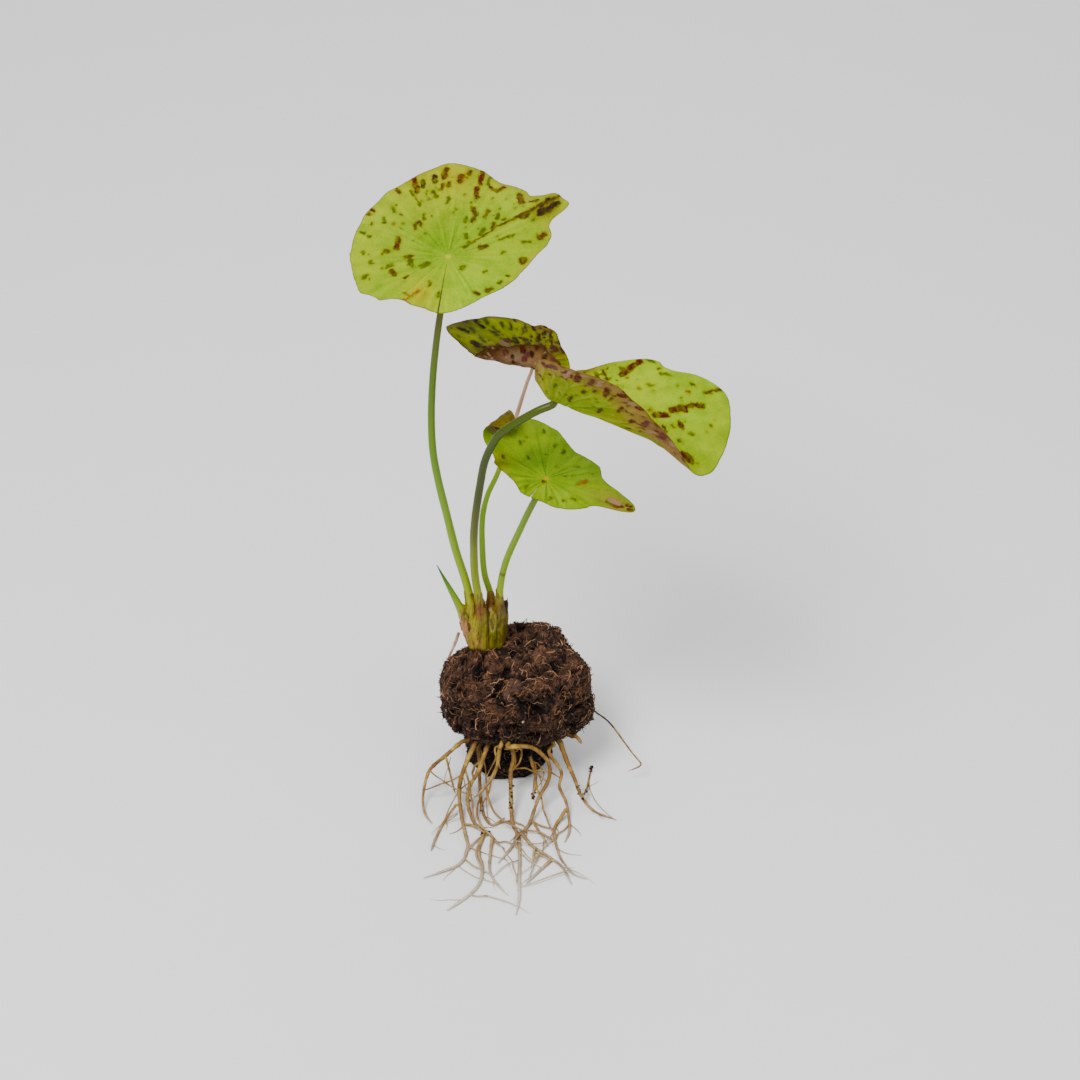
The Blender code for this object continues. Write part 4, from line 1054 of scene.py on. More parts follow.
def side_paint(side, seed, place, angle_at, share_at):
    """The colours of one side of a blade: its base, its washes and its bands."""
    wander = soft_noise(np.c_[place, np.full(len(place), 3.0)], WANDER_LENGTH, seed)
    paint = np.tile(ink(side["base"]), (len(place), 1))
    for x, y, rx, ry, code, strength in side["washes"]:
        away = ((place[:, 0] - x) / rx) ** 2 + ((place[:, 1] - y) / ry) ** 2
        paint = tinted(paint, code, strength * np.exp(-away * (1 + 0.5 * wander)))
    for low, high, start, end, code, strength in side["bands"]:
        inside = (smoothstep(low - BAND_EDGE, low + BAND_EDGE, angle_at)
                  * (1 - smoothstep(high - BAND_EDGE, high + BAND_EDGE, angle_at)))
        weight = strength * inside * smoothstep(start, end, share_at + 0.06 * wander)
        paint = tinted(paint, code, weight)
    return paint


def ray_shade(seed, place, angle_at, share_at):
    """What the paint is multiplied by: rays from the hub, and darker wedges close to it."""
    rays = soft_noise(np.c_[angle_at / RAY_DEGREES, share_at * 1.6], 1.0, seed)
    rays = RAY_STRENGTH * rays * smoothstep(0.0, 0.2, share_at)
    wedges = soft_noise(np.c_[angle_at / WEDGE_DEGREES, share_at * 0.7], 1.0, seed + 4)
    wedges = smoothstep(0.0, 0.45, wedges)
    wedges = wedges * bump(np.hypot(place[:, 0], place[:, 1]), 0, WEDGE_REACH)
    return (1 + rays)[:, None] * (1 - wedges[:, None] * (1 - np.array(WEDGE_TINT)))


def side_marks(side, outline, rng):
    """The flecks of one side, placed and scattered: both ends, half width and ink."""
    marks = [(*stroke[:4], stroke[4] * FLECK_WIDTH, name)
             for name, strokes in side["flecks"].items() for stroke in strokes]
    for many, low, high, near, far, size, inks in side["specks"]:
        for _ in range(many):
            angle, share = rng.uniform(low, high), rng.uniform(near, far)
            reach = margin_radius(outline, angle) * share
            run = rng.uniform(*SPECK_LENGTHS) * size
            marks.append((*on_circle(reach, angle), *on_circle(reach + run, angle),
                          size * rng.uniform(*SPECK_WIDTHS), rng.choice(inks)))
    return marks


def make_blade(name, look):
    """One leaf blade: a thin closed sheet with sunk veins above and ribs below."""
    blade = BLADES[name]
    columns, rows, seed = look["columns"], look["rows"], look["seed"]
    rng = random.Random(seed)
    angles, reaches, shares, flat = blade_grid(blade, look)
    sheet, normal = bent_sheet(blade, angles, shares, flat)
    veins = vein_capsules(blade, look["veins"], rng)
    verts = []
    for height in surface_heights(look, reaches, shares, flat, veins):
        layer = sheet + normal * height
        verts += [layer[:, 0].mean(axis=0)[None], layer[:, 1:].reshape(-1, 3)]

    def at_points(grid):
        """The values of a grid at the points of one layer."""
        return np.concatenate([grid[:1, 0], grid[:, 1:].reshape(-1, *grid.shape[2:])])

    place = at_points(flat)
    angle_at = np.degrees(np.arctan2(place[:, 1], place[:, 0]))
    share_at = at_points(np.broadcast_to(shares, flat.shape[:2]))
    edge = np.where(share_at > 0.999, 0.0, at_points(np.outer(reaches, 1 - shares)))
    vein, _ = capsule_field(place, veins)
    shifts = [soft_noise(place, 1.3, shift_seed) for shift_seed in (5.0, 9.0)]
    wandered = place + FLECK_WANDER * np.stack(shifts, -1)
    shade = ray_shade(seed, place, angle_at, share_at)
    paint, fleck, inks = [], [], []
    for side in (look["top"], look["under"]):
        paint.append(side_paint(side, seed, place, angle_at, share_at) * shade)
        marks = side_marks(side, blade["outline"], rng)
        depth, which = capsule_field(wandered, [mark[:5] for mark in marks])
        fleck.append(depth)
        inks.append(np.array([ink(INKS[mark[5]]) for mark in marks])[which])
    hub = smoothstep(HUB_REACH, 0.35, np.hypot(place[:, 0], place[:, 1]))
    paint[0] = tinted(paint[0], look["hub"], hub)
    piece(name + "_skin", np.concatenate(verts), sheet_faces(columns, rows),
          np.concatenate(paint) * LEAF_SHADE, blade_material(name + "_skin", look),
          name + "_green", [name], uv=np.tile(place / 100 + 0.5, (2, 1)),
          vein=np.tile(vein - 0.28 * share_at, 2), fleck=np.concatenate(fleck),
          ink=np.concatenate(inks), edge=np.tile(edge, 2))


# The stalks

# The colours of each stalk: shares of its way up, and their codes.
STALK_LOOKS = {
    "upper_leaf": ((0, "#c0c01e"), (0.10, "#b2c41c"), (0.28, "#8eac1c"), (0.5, "#6e8e20"),
                   (0.7, "#5c7424"), (0.88, "#646426"), (1, "#746424")),
    "folded_leaf": ((0, "#a8a41e"), (0.12, "#9aa41a"), (0.3, "#84921c"), (0.42, "#5f661a"),
                    (0.55, "#444a18"), (0.7, "#3f4c1c"), (0.85, "#4a5a20"), (1, "#565c22")),
    "twisted_leaf": ((0, "#aaac20"), (0.15, "#88a01c"), (0.4, "#76981c"), (0.58, "#8ca438"),
                     (0.68, "#caa080"), (0.8, "#e0b49c"), (1, "#e4b8a2")),
    "lower_leaf": ((0, "#b4a42a"), (0.15, "#b0b826"), (0.24, "#9ab01c"), (0.6, "#82a020"),
                   (0.85, "#708a20"), (1, "#8a8c22")),
}
STALK_SIDES = 20
STALK_WOBBLE = 0.03
# The dark ring on the lower leaf's stalk: its share of the way up, and its reach.
STALK_RING = (0.345, 0.008)
SHOOT_STOPS = ((0, "#b8a83c"), (0.25, "#a3b020"), (0.55, "#7fa01e"), (0.85, "#4f7a22"),
               (1, "#35501c"))
SHOOT_SIDES = 24
SEAM_TWIST = 0.35
SEAM_WIDTH = 0.05
SEAM_DEPTH = 0.22


def make_stalk(name):
    """A stalk from inside the crown up into its blade."""
    stalk, blade = STALKS[name], BLADES[name]
    end, way = stalk_end(blade)
    route = smooth_route((*stalk["route"], end - way * STALK_TOP_RUN, end), 1.0)
    shares = np.array(shares_along(route))
    radii = np.array([spread(stalk["radii"], share) for share in shares])
    radii = radii * (1 + STALK_WOBBLE * soft_noise(shares * 30, 1.0, 5.0))
    verts, faces = tube_points(route, radii, STALK_SIDES, 0.1)
    paint = per_ring(colour_along(STALK_LOOKS[name], shares), STALK_SIDES)
    if name == "lower_leaf":
        paint = tinted(paint, "#3a2c16", 0.8 * bump(per_ring(shares, STALK_SIDES), *STALK_RING))
    length = sum((b - a).length for a, b in zip(route, route[1:]))
    around = np.abs(round_tube(len(route), STALK_SIDES) * 2 - 1)
    piece(name + "_stalk_skin", verts, faces, paint, STEM, name + "_stalk_green",
          [name + "_stalk"],
          uv=np.stack([around, per_ring(shares * length, STALK_SIDES) / 100], -1))


def make_shoot():
    """The rolled young leaf: a spike with a seam that winds up it."""
    route = smooth_route(SHOOT["route"], 0.8)
    shares = np.array(shares_along(route))
    radii = np.array([spread(SHOOT["radii"], share) for share in shares])
    verts, faces = tube_points(route, radii, SHOOT_SIDES)
    centre = per_ring(np.array([tuple(p) for p in route]), SHOOT_SIDES)
    around = round_tube(len(route), SHOOT_SIDES)
    along = per_ring(shares, SHOOT_SIDES)
    seam = bump((around - SEAM_TWIST * along + 0.5) % 1, 0.5, SEAM_WIDTH)
    verts = centre + (verts - centre) * (1 - SEAM_DEPTH * seam * (along < 0.97))[:, None]
    paint = per_ring(colour_along(SHOOT_STOPS, shares), SHOOT_SIDES)
    # Painted shade in the seam's groove.
    paint = paint * (1 - 0.45 * seam[:, None])
    piece("young_shoot_skin", verts, faces, paint, STEM, "shoot_green", ["young_shoot"],
          uv=np.stack([np.abs(around * 2 - 1), along * 0.3], -1))


# The crown

# Leaf bases: three points up the middle, and the radius at the foot, the middle and the top.
LEAF_BASES = (
    ((-11.6, 2.8, 39), (-12.8, 2.7, 51), (-15.0, 3.9, 67), (1.9, 2.4, 1.35)),
    ((-9.6, 1.9, 39), (-9.8, 1.6, 52), (-11.7, 1.0, 68), (1.8, 1.9, 1.25)),
    ((-7.6, 2.2, 39), (-7.2, 3.0, 52), (-7.6, 6.4, 64), (1.8, 2.3, 1.2)),
    ((-5.8, 2.6, 39), (-4.6, 2.8, 52), (-4.6, 2.6, 68), (1.7, 1.9, 1.15)),
    ((-5.2, 3.8, 40), (-3.2, 3.8, 53), (-2.6, 3.6, 62), (1.2, 1.5, 0.6)),
    ((-13.0, 2.8, 41), (-15.0, 2.4, 51), (-17.6, 2.2, 61), (1.3, 2.0, 1.4)),
    ((-11.0, 6.2, 40), (-11.6, 7.2, 51), (-12.6, 6.6, 59), (2.0, 1.9, 0.9)),
    ((-7.0, 6.4, 40), (-5.8, 7.4, 51), (-6.2, 7.6, 58), (2.0, 1.9, 0.9)),
)
# The sheath round each stalk's foot: how far above its top the tube ends, the radii of its two
# lowest rings, and how far the others stand out of the stalk, from below the top to above it.
SHEATH_END = 3
SHEATH_STANDS_OUT = (0.75, 0.5, 0.2, -0.25)
SHEATH_FOOT_RADII = (1.5, 2.0)
STUMP_SHARE = 0.8
CROWN_SIDES = 20
CROWN_MESH_SIZE = 0.24
CROWN_SMOOTHING = 4
# Places across and up the front of the crown: x, z, reach both ways, colour and strength.
CROWN_WASHES = (
    (-16.4, 53, 1.8, 5, "#c08a68", 0.95), (-12.9, 54, 1.6, 8, "#b0a43c", 0.95),
    (-14.8, 65, 1.8, 6, "#b2b81e", 0.9), (-4.6, 66.5, 1.4, 3.5, "#9aa022", 0.8),
    (-11.6, 67, 1.5, 3.5, "#98a01e", 0.8), (-12.2, 46, 1.9, 4.5, "#c4a668", 0.9),
    (-11.0, 61.5, 2.2, 3.8, "#7a4a24", 0.95), (-12.4, 58.5, 0.7, 1.8, "#8a5a2c", 0.8),
    (-11.0, 50, 0.5, 7, "#6a5a20", 0.75), (-9.7, 51, 1.1, 7, "#8a8430", 0.85),
    # Painted shade: the thin dark washes at x -8.4 and x -5.4 fill gaps between leaf bases.
    (-10.0, 46, 1.4, 2.6, "#96844a", 0.7), (-8.4, 53, 0.45, 7, "#2e2c0c", 0.95),
    (-6.4, 51, 1.3, 6, "#6e7020", 0.85), (-7.4, 61, 1.6, 3.0, "#7a4e26", 0.9),
    # Painted highlight: the small pale wash at x -7.7 on the next line.
    (-7.7, 58.9, 0.5, 0.6, "#d8c09a", 0.9), (-5.4, 52, 0.45, 7, "#3c340e", 0.8),
    (-4.4, 56, 1.2, 7, "#7c7c2c", 0.85), (-4.2, 62, 1.2, 1.8, "#6e4e24", 0.8),
    (-2.9, 52, 0.9, 8, "#4e3c18", 0.9), (-2.4, 61.5, 1.4, 3.0, "#34220e", 0.95))
# The bud's scar and the dark slit on the crown's front: x, z and reach both ways.
EYE = (-6.9, 54.8, 1.0, 3.3)
SLIT = (-14.7, 53.5, 0.25, 2.2)
FRONT_OF_CROWN = 3.4
SOIL_LINE = 43.5
SOIL_BLEND = 1.8
RIB_RELIEF = 0.26
FINE_RELIEF = 0.26
SCAR_RELIEF = 0.18
SLIT_DEPTH = 0.6
# Papery scraps of old sheath: foot, the way they face, height, width, how far they lean out,
# and colour.
SCRAPS = (
    ((-11.4, 0.6, 59.0), -100, 5.0, 2.0, 0.3, "#7d5222"),
    ((-9.6, 0.6, 60.2), -70, 3.6, 1.5, 0.4, "#6b3f1a"),
    ((-2.2, 2.9, 56.5), -35, 8.0, 1.6, 0.35, "#3c2812"),
    ((-17.4, 1.6, 51.5), -150, 4.0, 1.6, 0.6, "#a06c4a"),
    ((-7.0, 9.2, 54.0), 80, 5.0, 4.0, 0.6, "#6b4a20"),
    ((-13.4, 7.8, 53.0), 130, 4.5, 3.6, 0.6, "#80602a"),
)
SCRAP_POINTS = 13
SCRAP_HALF_THICKNESS = 0.06


def crown_shapes():
    """The closed shapes that grow together as the crown: tubes, and a rounded stump."""
    bm = bmesh.new()
    shapes = []
    for stalk in (*STALKS.values(), SHOOT):
        foot, above = (Vector(p) for p in stalk["route"][:2])
        way = (above - foot).normalized()
        up, down = stalk["sheath"]
        heights = (-down, -down / 2, 0, up * 0.6, up, up + SHEATH_END)
        radii = (*SHEATH_FOOT_RADII, *(stalk["radii"][0] + out for out in SHEATH_STANDS_OUT))
        shapes.append(tube_points([foot + way * h for h in heights], radii, CROWN_SIDES))
    for *points, radii in LEAF_BASES:
        route = smooth_route(points, 1.5)
        radii = np.interp(shares_along(route), (0, 0.55, 1), radii)
        shapes.append(tube_points(route, radii, CROWN_SIDES))
    for verts, faces in shapes:
        made = [bm.verts.new(v) for v in verts]
        for face in faces:
            bm.faces.new([made[i] for i in face])
    ball = bmesh.ops.create_icosphere(bm, subdivisions=3, radius=1.0)
    for vertex in ball["verts"]:
        way = vertex.co.normalized()
        total = sum((abs(c) / half) ** STUMP_SQUARENESS for c, half in zip(way, STUMP_HALF_SIZES))
        reach = total ** (-1 / STUMP_SQUARENESS)
        vertex.co = Vector(STUMP_MIDDLE) + way * reach * STUMP_SHARE
    bmesh.ops.recalc_face_normals(bm, faces=bm.faces)
    return bm


def make_crown():
    """The clump of leaf bases: swollen sheaths side by side, grown together below."""
    verts, faces = remeshed(crown_shapes(), CROWN_MESH_SIZE, CROWN_SMOOTHING)
    normals = vertex_normals(verts, faces)
    x, y, z = verts.T
    turn = np.arctan2(y - STUMP_MIDDLE[1], x - STUMP_MIDDLE[0])
    rib = soft_noise(np.c_[turn * 20, z / 9], 1.0, 2.0)
    fine = rough_noise(verts * (1, 1, 0.3), 1.1, 2, 4.0)
    front = y < FRONT_OF_CROWN
    ring = front * bump(np.hypot((x - EYE[0]) / EYE[2], (z - EYE[1]) / EYE[3]), 1, 0.17)
    slit = (front * bump(x + (z - SLIT[1]) * 0.2, SLIT[0], SLIT[2])
            * bump(z, SLIT[1], SLIT[3]))
    relief = RIB_RELIEF * rib + FINE_RELIEF * fine + SCAR_RELIEF * ring - SLIT_DEPTH * slit
    verts = verts + normals * relief[:, None]
    x, _, z = verts.T
    blotch = smoothstep(0.05, 0.55, rough_noise(verts * (1, 1, 0.45), 1.5, 3, 31.0))
    paint = np.tile(ink("#86783a"), (len(verts), 1))
    for wash_x, wash_z, rx, rz, code, strength in CROWN_WASHES:
        away = ((x - wash_x) / rx) ** 2 + ((z - wash_z) / rz) ** 2
        paint = tinted(paint, code, strength * np.exp(-away * (1 + 0.4 * fine)))
    for field, code, strength in (
            (blotch, "#5a3e1e", 0.7), (ring, "#b5ac62", 0.75), (slit, "#401a0c", 0.95),
            # Painted shade in the grooves between the ribs.
            (smoothstep(0.1, 0.6, -rib), "#3e3c12", 0.45),
            (smoothstep(SOIL_LINE + SOIL_BLEND, SOIL_LINE, z), "#2c2014", 0.8)):
        paint = tinted(paint, code, strength * field)
    piece("crown_skin", verts, faces, paint, STEM, "sheath", ["crown"],
          uv=np.stack([turn / 3, z / 60], -1))


def make_scraps():
    """Thin dry scraps of old sheath with torn tops, standing round the crown."""
    last = SCRAP_POINTS - 1
    u, v = np.meshgrid(np.linspace(-1, 1, SCRAP_POINTS), np.linspace(0, 1, SCRAP_POINTS),
                       indexing="ij")
    front, back = np.arange(2 * u.size).reshape(2, *u.shape).tolist()
    faces = []
    for i in range(last):
        for j in range(last):
            ring = ((i, j), (i + 1, j), (i + 1, j + 1), (i, j + 1))
            faces.append([front[a][b] for a, b in ring])
            faces.append([back[a][b] for a, b in (ring[0], *ring[:0:-1])])
    steps = range(SCRAP_POINTS)
    rim = ([(i, 0) for i in steps] + [(last, j) for j in steps[1:]]
           + [(i, last) for i in steps[-2::-1]] + [(0, j) for j in steps[-2::-1]])
    faces += [[front[i][j], back[i][j], back[k][m], front[k][m]]
              for (i, j), (k, m) in zip(rim, rim[1:])]
    scraps = Gathered()
    for n, (foot, facing, height, width, lean, code) in enumerate(SCRAPS):
        out = np.array((*on_circle(1, facing), 0))
        side = np.array((-out[1], out[0], 0))
        tears = soft_noise(np.c_[u.ravel() * 3, np.full(u.size, n * 7.0)], 1.0).reshape(u.shape)
        crease = soft_noise(np.c_[u.ravel() * 4, v.ravel() * 2, np.full(u.size, n)], 1.0)
        crease = crease.reshape(u.shape)
        torn = 1 - 0.45 * np.abs(u) + 0.35 * tears
        sheet = (np.array(foot) + side * (u * width / 2 * (1 - 0.45 * v))[..., None]
                 + out * (lean * v ** 2 - 0.5 * u ** 2 + 0.25 * crease)[..., None]
                 + np.array((0, 0, 1.0)) * (height * v * torn)[..., None])
        layers = [(sheet + out * way * SCRAP_HALF_THICKNESS).reshape(-1, 3) for way in (1, -1)]
        shade = ((1 - 0.35 * v + 0.25 * crease)[..., None] * ink(code)).reshape(-1, 3)
        scraps.add(np.concatenate(layers), faces, np.tile(shade, (2, 1)))
    scraps.piece("sheath_scraps", STRAND, "sheath")


# The soil ball

SOIL_MESH_SIZE = 0.40
SOIL_SMOOTHING = 2
LUMP_LENGTH, LUMP_HEIGHT = 6.0, 0.8
PEBBLE_LENGTH, PEBBLE_HEIGHT = 1.5, 1.1
GRAIN_LENGTH, GRAIN_HEIGHT = 0.95, 0.8
PIT_LENGTH, PIT_DEPTH = 4.2, 2.8
STONE_HEIGHT = 0.8
SOIL_SUNK = 0.5
# The soil is heaped round the crown: how far from its middle, how wide and from what height.
MOUND_REACH, MOUND_WIDTH = 5.5, 2.5
MOUND_HEIGHTS = (36, 42)
# Patches of other colours on the peat: their length, colour, strength and seed.
SOIL_PATCHES = (
    (1.6, "#140b07", 0.8, 41.0), (1.3, "#8a6856", 0.55, 47.0),
    (4.5, "#5a3526", 0.5, 53.0), (7.0, "#5f4c43", 0.45, 31.0))
# Deep pits of the ball's front, and smooth lumps of bark or stone: place and size.
CAVITIES = (((7.1, -20.8, 34.0), 2.2), ((17.5, -14.5, 32.0), 2.6), ((15.0, -17.0, 28.5), 2.0),
            ((-5.0, -14.5, 41.5), 1.7), ((-5.2, -16.5, 38.5), 1.5), ((3.2, -19.0, 36.5), 1.8),
            ((-16.3, -14.5, 32.0), 2.0), ((-9.5, -20.0, 30.0), 1.8), ((20.5, -9.0, 30.5), 1.9),
            ((12.0, -16.5, 37.5), 1.5), ((0.5, -21.5, 28.0), 2.2), ((-20.0, -8.5, 37.0), 1.5))
STONES = (((-0.3, -15.5, 40.0), 4.0), ((17.6, -9.6, 39.0), 2.4), ((10.5, -19.0, 31.5), 2.4))
# The colours of the fibres, dark ones first, and how often each comes.
FIBRE_INKS = (("#1c110b", 5), ("#3a281c", 5), ("#5a3d2c", 6), ("#7a563e", 6), ("#9c765a", 5),
              ("#c09a7c", 3))
# How many of the first inks the bristles have.
DARK_INKS = 10
FIBRES = 3100
BRISTLES = 420
# Fibres and crumbs lie above the first height, and bristles stand above the second.
LOOSE_ABOVE = 2
BRISTLES_ABOVE = 12
FIBRE_STEP = 0.85
FIBRE_RADII = (0.06, 0.14)
THICK_SHARE = 0.18
THICKER = 1.9
CRUMBS = 1500
CRUMB_SIZES = (0.2, 0.62)
CLUMP_SIZES = (0.22, 0.55)
BIG_SHARE = 0.08
BIGGER = 1.5
CRUMB_INKS = ("#241812", "#3f2c20", "#553d2e", "#6c5040", "#2c1d15")
PALE_CRUMB = "#b5a596"
PALE_SHARE = 0.02
# Clumps of soil left on the roots and by the side root: place, reach and number of crumbs.
CLUMPS = (
    ((0.7, -28.3, 0.9), 2.4, 26), ((-9.7, -41.7, 0.6), 1.8, 16), ((20.1, -23.7, 0.8), 2.2, 20),
    ((7.0, -26.0, 0.7), 1.6, 12), ((-13.3, -28.0, 0.8), 2.0, 16), ((-20.0, 2.0, 42.5), 1.2, 12),
    ((-24.0, -1.5, 36.0), 1.3, 12), ((26.0, -10.0, 0.5), 1.6, 12))


def soil_relief(verts):
    """How far each point of the ball moves out, its fine grain, and how much of a stone it is."""
    lumps = rough_noise(verts, LUMP_LENGTH, 2, 1.0)
    crumbs = np.array([0.5 - noise.voronoi(Vector(v) / PEBBLE_LENGTH)[0][0] for v in verts])
    fine = rough_noise(verts, GRAIN_LENGTH, 3, 9.0)
    pits = smoothstep(0.22, 0.42, -soft_noise(verts, PIT_LENGTH, 21.0))
    for place, size in CAVITIES:
        pits = np.maximum(pits, 1.5 * bump(np.linalg.norm(verts - place, axis=1), 0, size))
    stones = np.zeros(len(verts))
    for place, size in STONES:
        away = np.linalg.norm(verts - place, axis=1) / size
        stones = np.maximum(stones, smoothstep(1.15, 0.75, away))
    crumbs, fine = crumbs * (1 - 0.8 * stones), fine * (1 - 0.7 * stones)
    moved = (LUMP_HEIGHT * lumps + PEBBLE_HEIGHT * crumbs + GRAIN_HEIGHT * fine
             - PIT_DEPTH * pits + STONE_HEIGHT * stones - SOIL_SUNK)
    return moved, fine, stones


def make_soil():
    """The peat: lumps, crumbs and pits on the ball. Gives its tree, points and normals, for what
    lies on it."""
    verts, faces = remeshed(node_bmesh("soil_ball"), SOIL_MESH_SIZE, SOIL_SMOOTHING)
    normals = vertex_normals(verts, faces)
    moved, fine, stones = soil_relief(verts)
    verts = verts + normals * (moved * smoothstep(0.0, 2.5, verts[:, 2]))[:, None]
    middle = np.array(STUMP_MIDDLE[:2])
    round_crown = np.hypot(*((verts[:, :2] - middle) / (1.2, 1)).T)
    mound = bump(round_crown, MOUND_REACH, MOUND_WIDTH) * smoothstep(*MOUND_HEIGHTS, verts[:, 2])
    verts[:, 2] += mound * (1 + 0.4 * fine)
    verts[:, :2] += (middle - verts[:, :2]) * (0.32 * mound)[:, None]
    # Painted shade: where the relief sinks into pits the paint goes near black, and only the raised
    # soil keeps its brown.
    light = smoothstep(-1.2, 1.0, moved)
    # Painted light: the brown is painted lighter from 22 mm up to 44 mm, as the ball's top is lit
    # from above.
    high = smoothstep(22.0, 44.0, verts[:, 2])
    crust_lit_from_above = tinted(np.tile(ink("#4c3220"), (len(verts), 1)), "#7a5846", high)
    paint = ink("#090403") * (1 - light[:, None]) + crust_lit_from_above * light[:, None]
    for length, code, share, seed in SOIL_PATCHES:
        patch = smoothstep(0.0, 0.4, rough_noise(verts, length, 2, seed))
        paint = tinted(paint, code, patch * share * light)
    paint = tinted(paint, "#4e4039", 0.6 * stones)
    # Painted shade: the ball darkens to near black from 24 mm down to 13 mm, and a little from 35
    # mm down to 25 mm, as its underside and foot lie out of the light.
    shade = np.maximum(0.9 * smoothstep(24.0, 13.0, verts[:, 2]),
                       0.38 * smoothstep(35.0, 25.0, verts[:, 2]))
    piece("soil_skin", verts, faces, tinted(paint, "#0a0605", shade), EARTH, "peat", ["soil_ball"])
    tris = [t for f in faces for t in ((f[0], f[1], f[2]), (f[0], f[2], f[-1]))]
    return BVHTree.FromPolygons([Vector(v) for v in verts], tris), verts, normals


def random_way(rng, reach):
    return Vector([rng.uniform(-reach, reach) for _ in range(3)])


def lying_route(tree, here, up, rng):
    """The route of a fibre that curls along the ball and arches out of it."""
    way = up.cross(random_way(rng, 1)).normalized()
    curl = rng.gauss(0, 0.30)
    steps = rng.randint(4, 12)
    rise = rng.uniform(0.1, 0.7)
    route = []
    for i in range(steps):
        near, normal, _, _ = tree.find_nearest(here)
        arch = rise * math.sin(math.pi * i / (steps - 1))
        route.append(near + normal * (0.06 + arch))
        way = (way - normal * way.dot(normal)).normalized()
        way = (way + normal.cross(way) * (curl + rng.gauss(0, 0.16))).normalized()
        here = near + way * FIBRE_STEP
    return route, here


def make_fibres(tree, verts, normals):
    """Curly fibres of peat that lie on the ball, and bristles that stand out of it."""
    rng = random.Random(17)
    inks = [ink(code) for code, share in FIBRE_INKS for _ in range(share)]
    fibres = Gathered()
    for _ in range(FIBRES):
        k = rng.randrange(len(verts))
        if verts[k][2] < LOOSE_ABOVE:
            continue
        route, end = lying_route(tree, Vector(verts[k]), Vector(normals[k]), rng)
        thick = rng.uniform(*FIBRE_RADII) * (THICKER if rng.random() < THICK_SHARE else 1)
        middles = (np.arange(len(route)) + 0.5) / len(route)
        points, faces = tube_points(route, thick * (0.55 + 0.45 * np.sin(math.pi * middles)), 3)
        # Painted shade and light by height: fibres low on the ball are darker, those near its top a
        # little lighter.
        painted_height_light = 0.35 + 0.75 * smoothstep(13, 36, end.z)
        fibres.add(points, faces, rng.choice(inks) * rng.uniform(0.75, 1.2) * painted_height_light)
    for _ in range(BRISTLES):
        k = rng.randrange(len(verts))
        if verts[k][2] < BRISTLES_ABOVE:
            continue
        here, up = Vector(verts[k]), Vector(normals[k])
        lean = random_way(rng, 0.7)
        way = (up + lean).normalized()
        length = rng.uniform(0.8, 2.6)
        route = [here - way * 0.3, here + way * length * 0.5 + lean * 0.1, here + way * length]
        fibres.add(*tube_points(route, (0.20, 0.14, 0.05), 4), rng.choice(inks[:DARK_INKS]) * 0.7)
    fibres.piece("soil_fibres", STRAND, "peat")


def make_crumbs(verts, normals, laid):
    """Crumbs of peat and bark on the ball and in small clumps on the roots."""
    rng = random.Random(29)
    bm = bmesh.new()
    bmesh.ops.create_icosphere(bm, subdivisions=1, radius=1.0)
    ball = np.array([v.co for v in bm.verts])
    shape = [tuple(v.index for v in f.verts) for f in bm.faces]
    bm.free()
    crumbs = Gathered()

    def add(place, size, number):
        stretch = np.array([rng.uniform(0.5, 1.3) for _ in range(3)])
        bumps = 1 + 0.55 * soft_noise(ball * 1.3, 0.8, number * 0.37)
        shaped = ball * bumps[:, None] * stretch * size + place
        shaped[:, 2] = np.maximum(shaped[:, 2], 0.05)
        code = PALE_CRUMB if rng.random() < PALE_SHARE else rng.choice(CRUMB_INKS)
        crumbs.add(shaped, shape, ink(code))

    for n in range(CRUMBS):
        k = rng.randrange(len(verts))
        if verts[k][2] > LOOSE_ABOVE:
            size = rng.uniform(*CRUMB_SIZES) * (BIGGER if rng.random() < BIG_SHARE else 1)
            add(verts[k] + normals[k] * size * 0.35, size, n)
    spots = [(np.array(p), r) for line in laid.values() for p, r in line]
    spots += [(v, 0.0) for v in verts[::7]]
    where = np.array([p for p, _ in spots])
    for place, reach, count in CLUMPS:
        away = np.linalg.norm(where - place, axis=1)
        near = np.flatnonzero(away < away.min() + reach)
        for n in range(count):
            point, radius = spots[rng.choice(near)]
            size = rng.uniform(*CLUMP_SIZES)
            out = np.array([rng.gauss(0, 1), rng.gauss(0, 1), abs(rng.gauss(0, 1))])
            point = point + out / np.linalg.norm(out) * (radius + size * 0.3)
            add((point[0], point[1], max(point[2], size)), size, n)
    crumbs.piece("soil_crumbs", EARTH, "peat")


# The roots

ROOT_STOPS = ((0, "#7a6038"), (0.06, "#dcbc70"), (0.2, "#c4a262"), (0.4, "#bc9c6a"),
              (0.65, "#cfb896"), (1, "#ece2d2"))
# Stains on the roots near the ball: their length, colour and strength.
ROOT_STAINS = ((3.4, "#7a5024", 0.75), (1.3, "#4a2f1a", 0.40))
# Painted shade where roots meet: a root darkens as the middle of another comes from the first
# distance to the second.
MEETING_SHADE_REACH = (3.0, 1.2)
# The paint of the roots turns pale over a run in front of the ball and one behind it.
FRONT_START, FRONT_RUN = 16, 58
BACK_START, BACK_RUN = 14, 30
EASING = 3
ROOT_SIDES = 10
ROOT_POINT_STEP = 0.5
ROOT_SWELLING = 0.22
ROOT_TIP = 0.35
KNOB_LENGTH = 1.3
KNOB_HEIGHT = 0.2
# Painted shade on the sides and underside of each root: how much darker they get, and the way that
# their lit side faces.
UNDERSIDE_SHADE = 0.62
ROOT_LIT_WAY = (0, -0.6, 0.8)
ROOT_SLIMMER = 0.95
# How far before its own start the skin of a root starts, towards the ball's middle.
ROOT_SUNK = 2.5
STRAND_STEP = 0.7
STRAND_SIDES = 7
STRAND_SWELLING = 0.2
# A root lies on the surface where its middle is lower than this.
LIES_BELOW = 2.5
HAIR_SIDES = 5
HAIR_HEIGHT = 0.16
HAIR_RADIUS = 0.12
CROSSINGS = 34
CROSSING_POINTS = 7
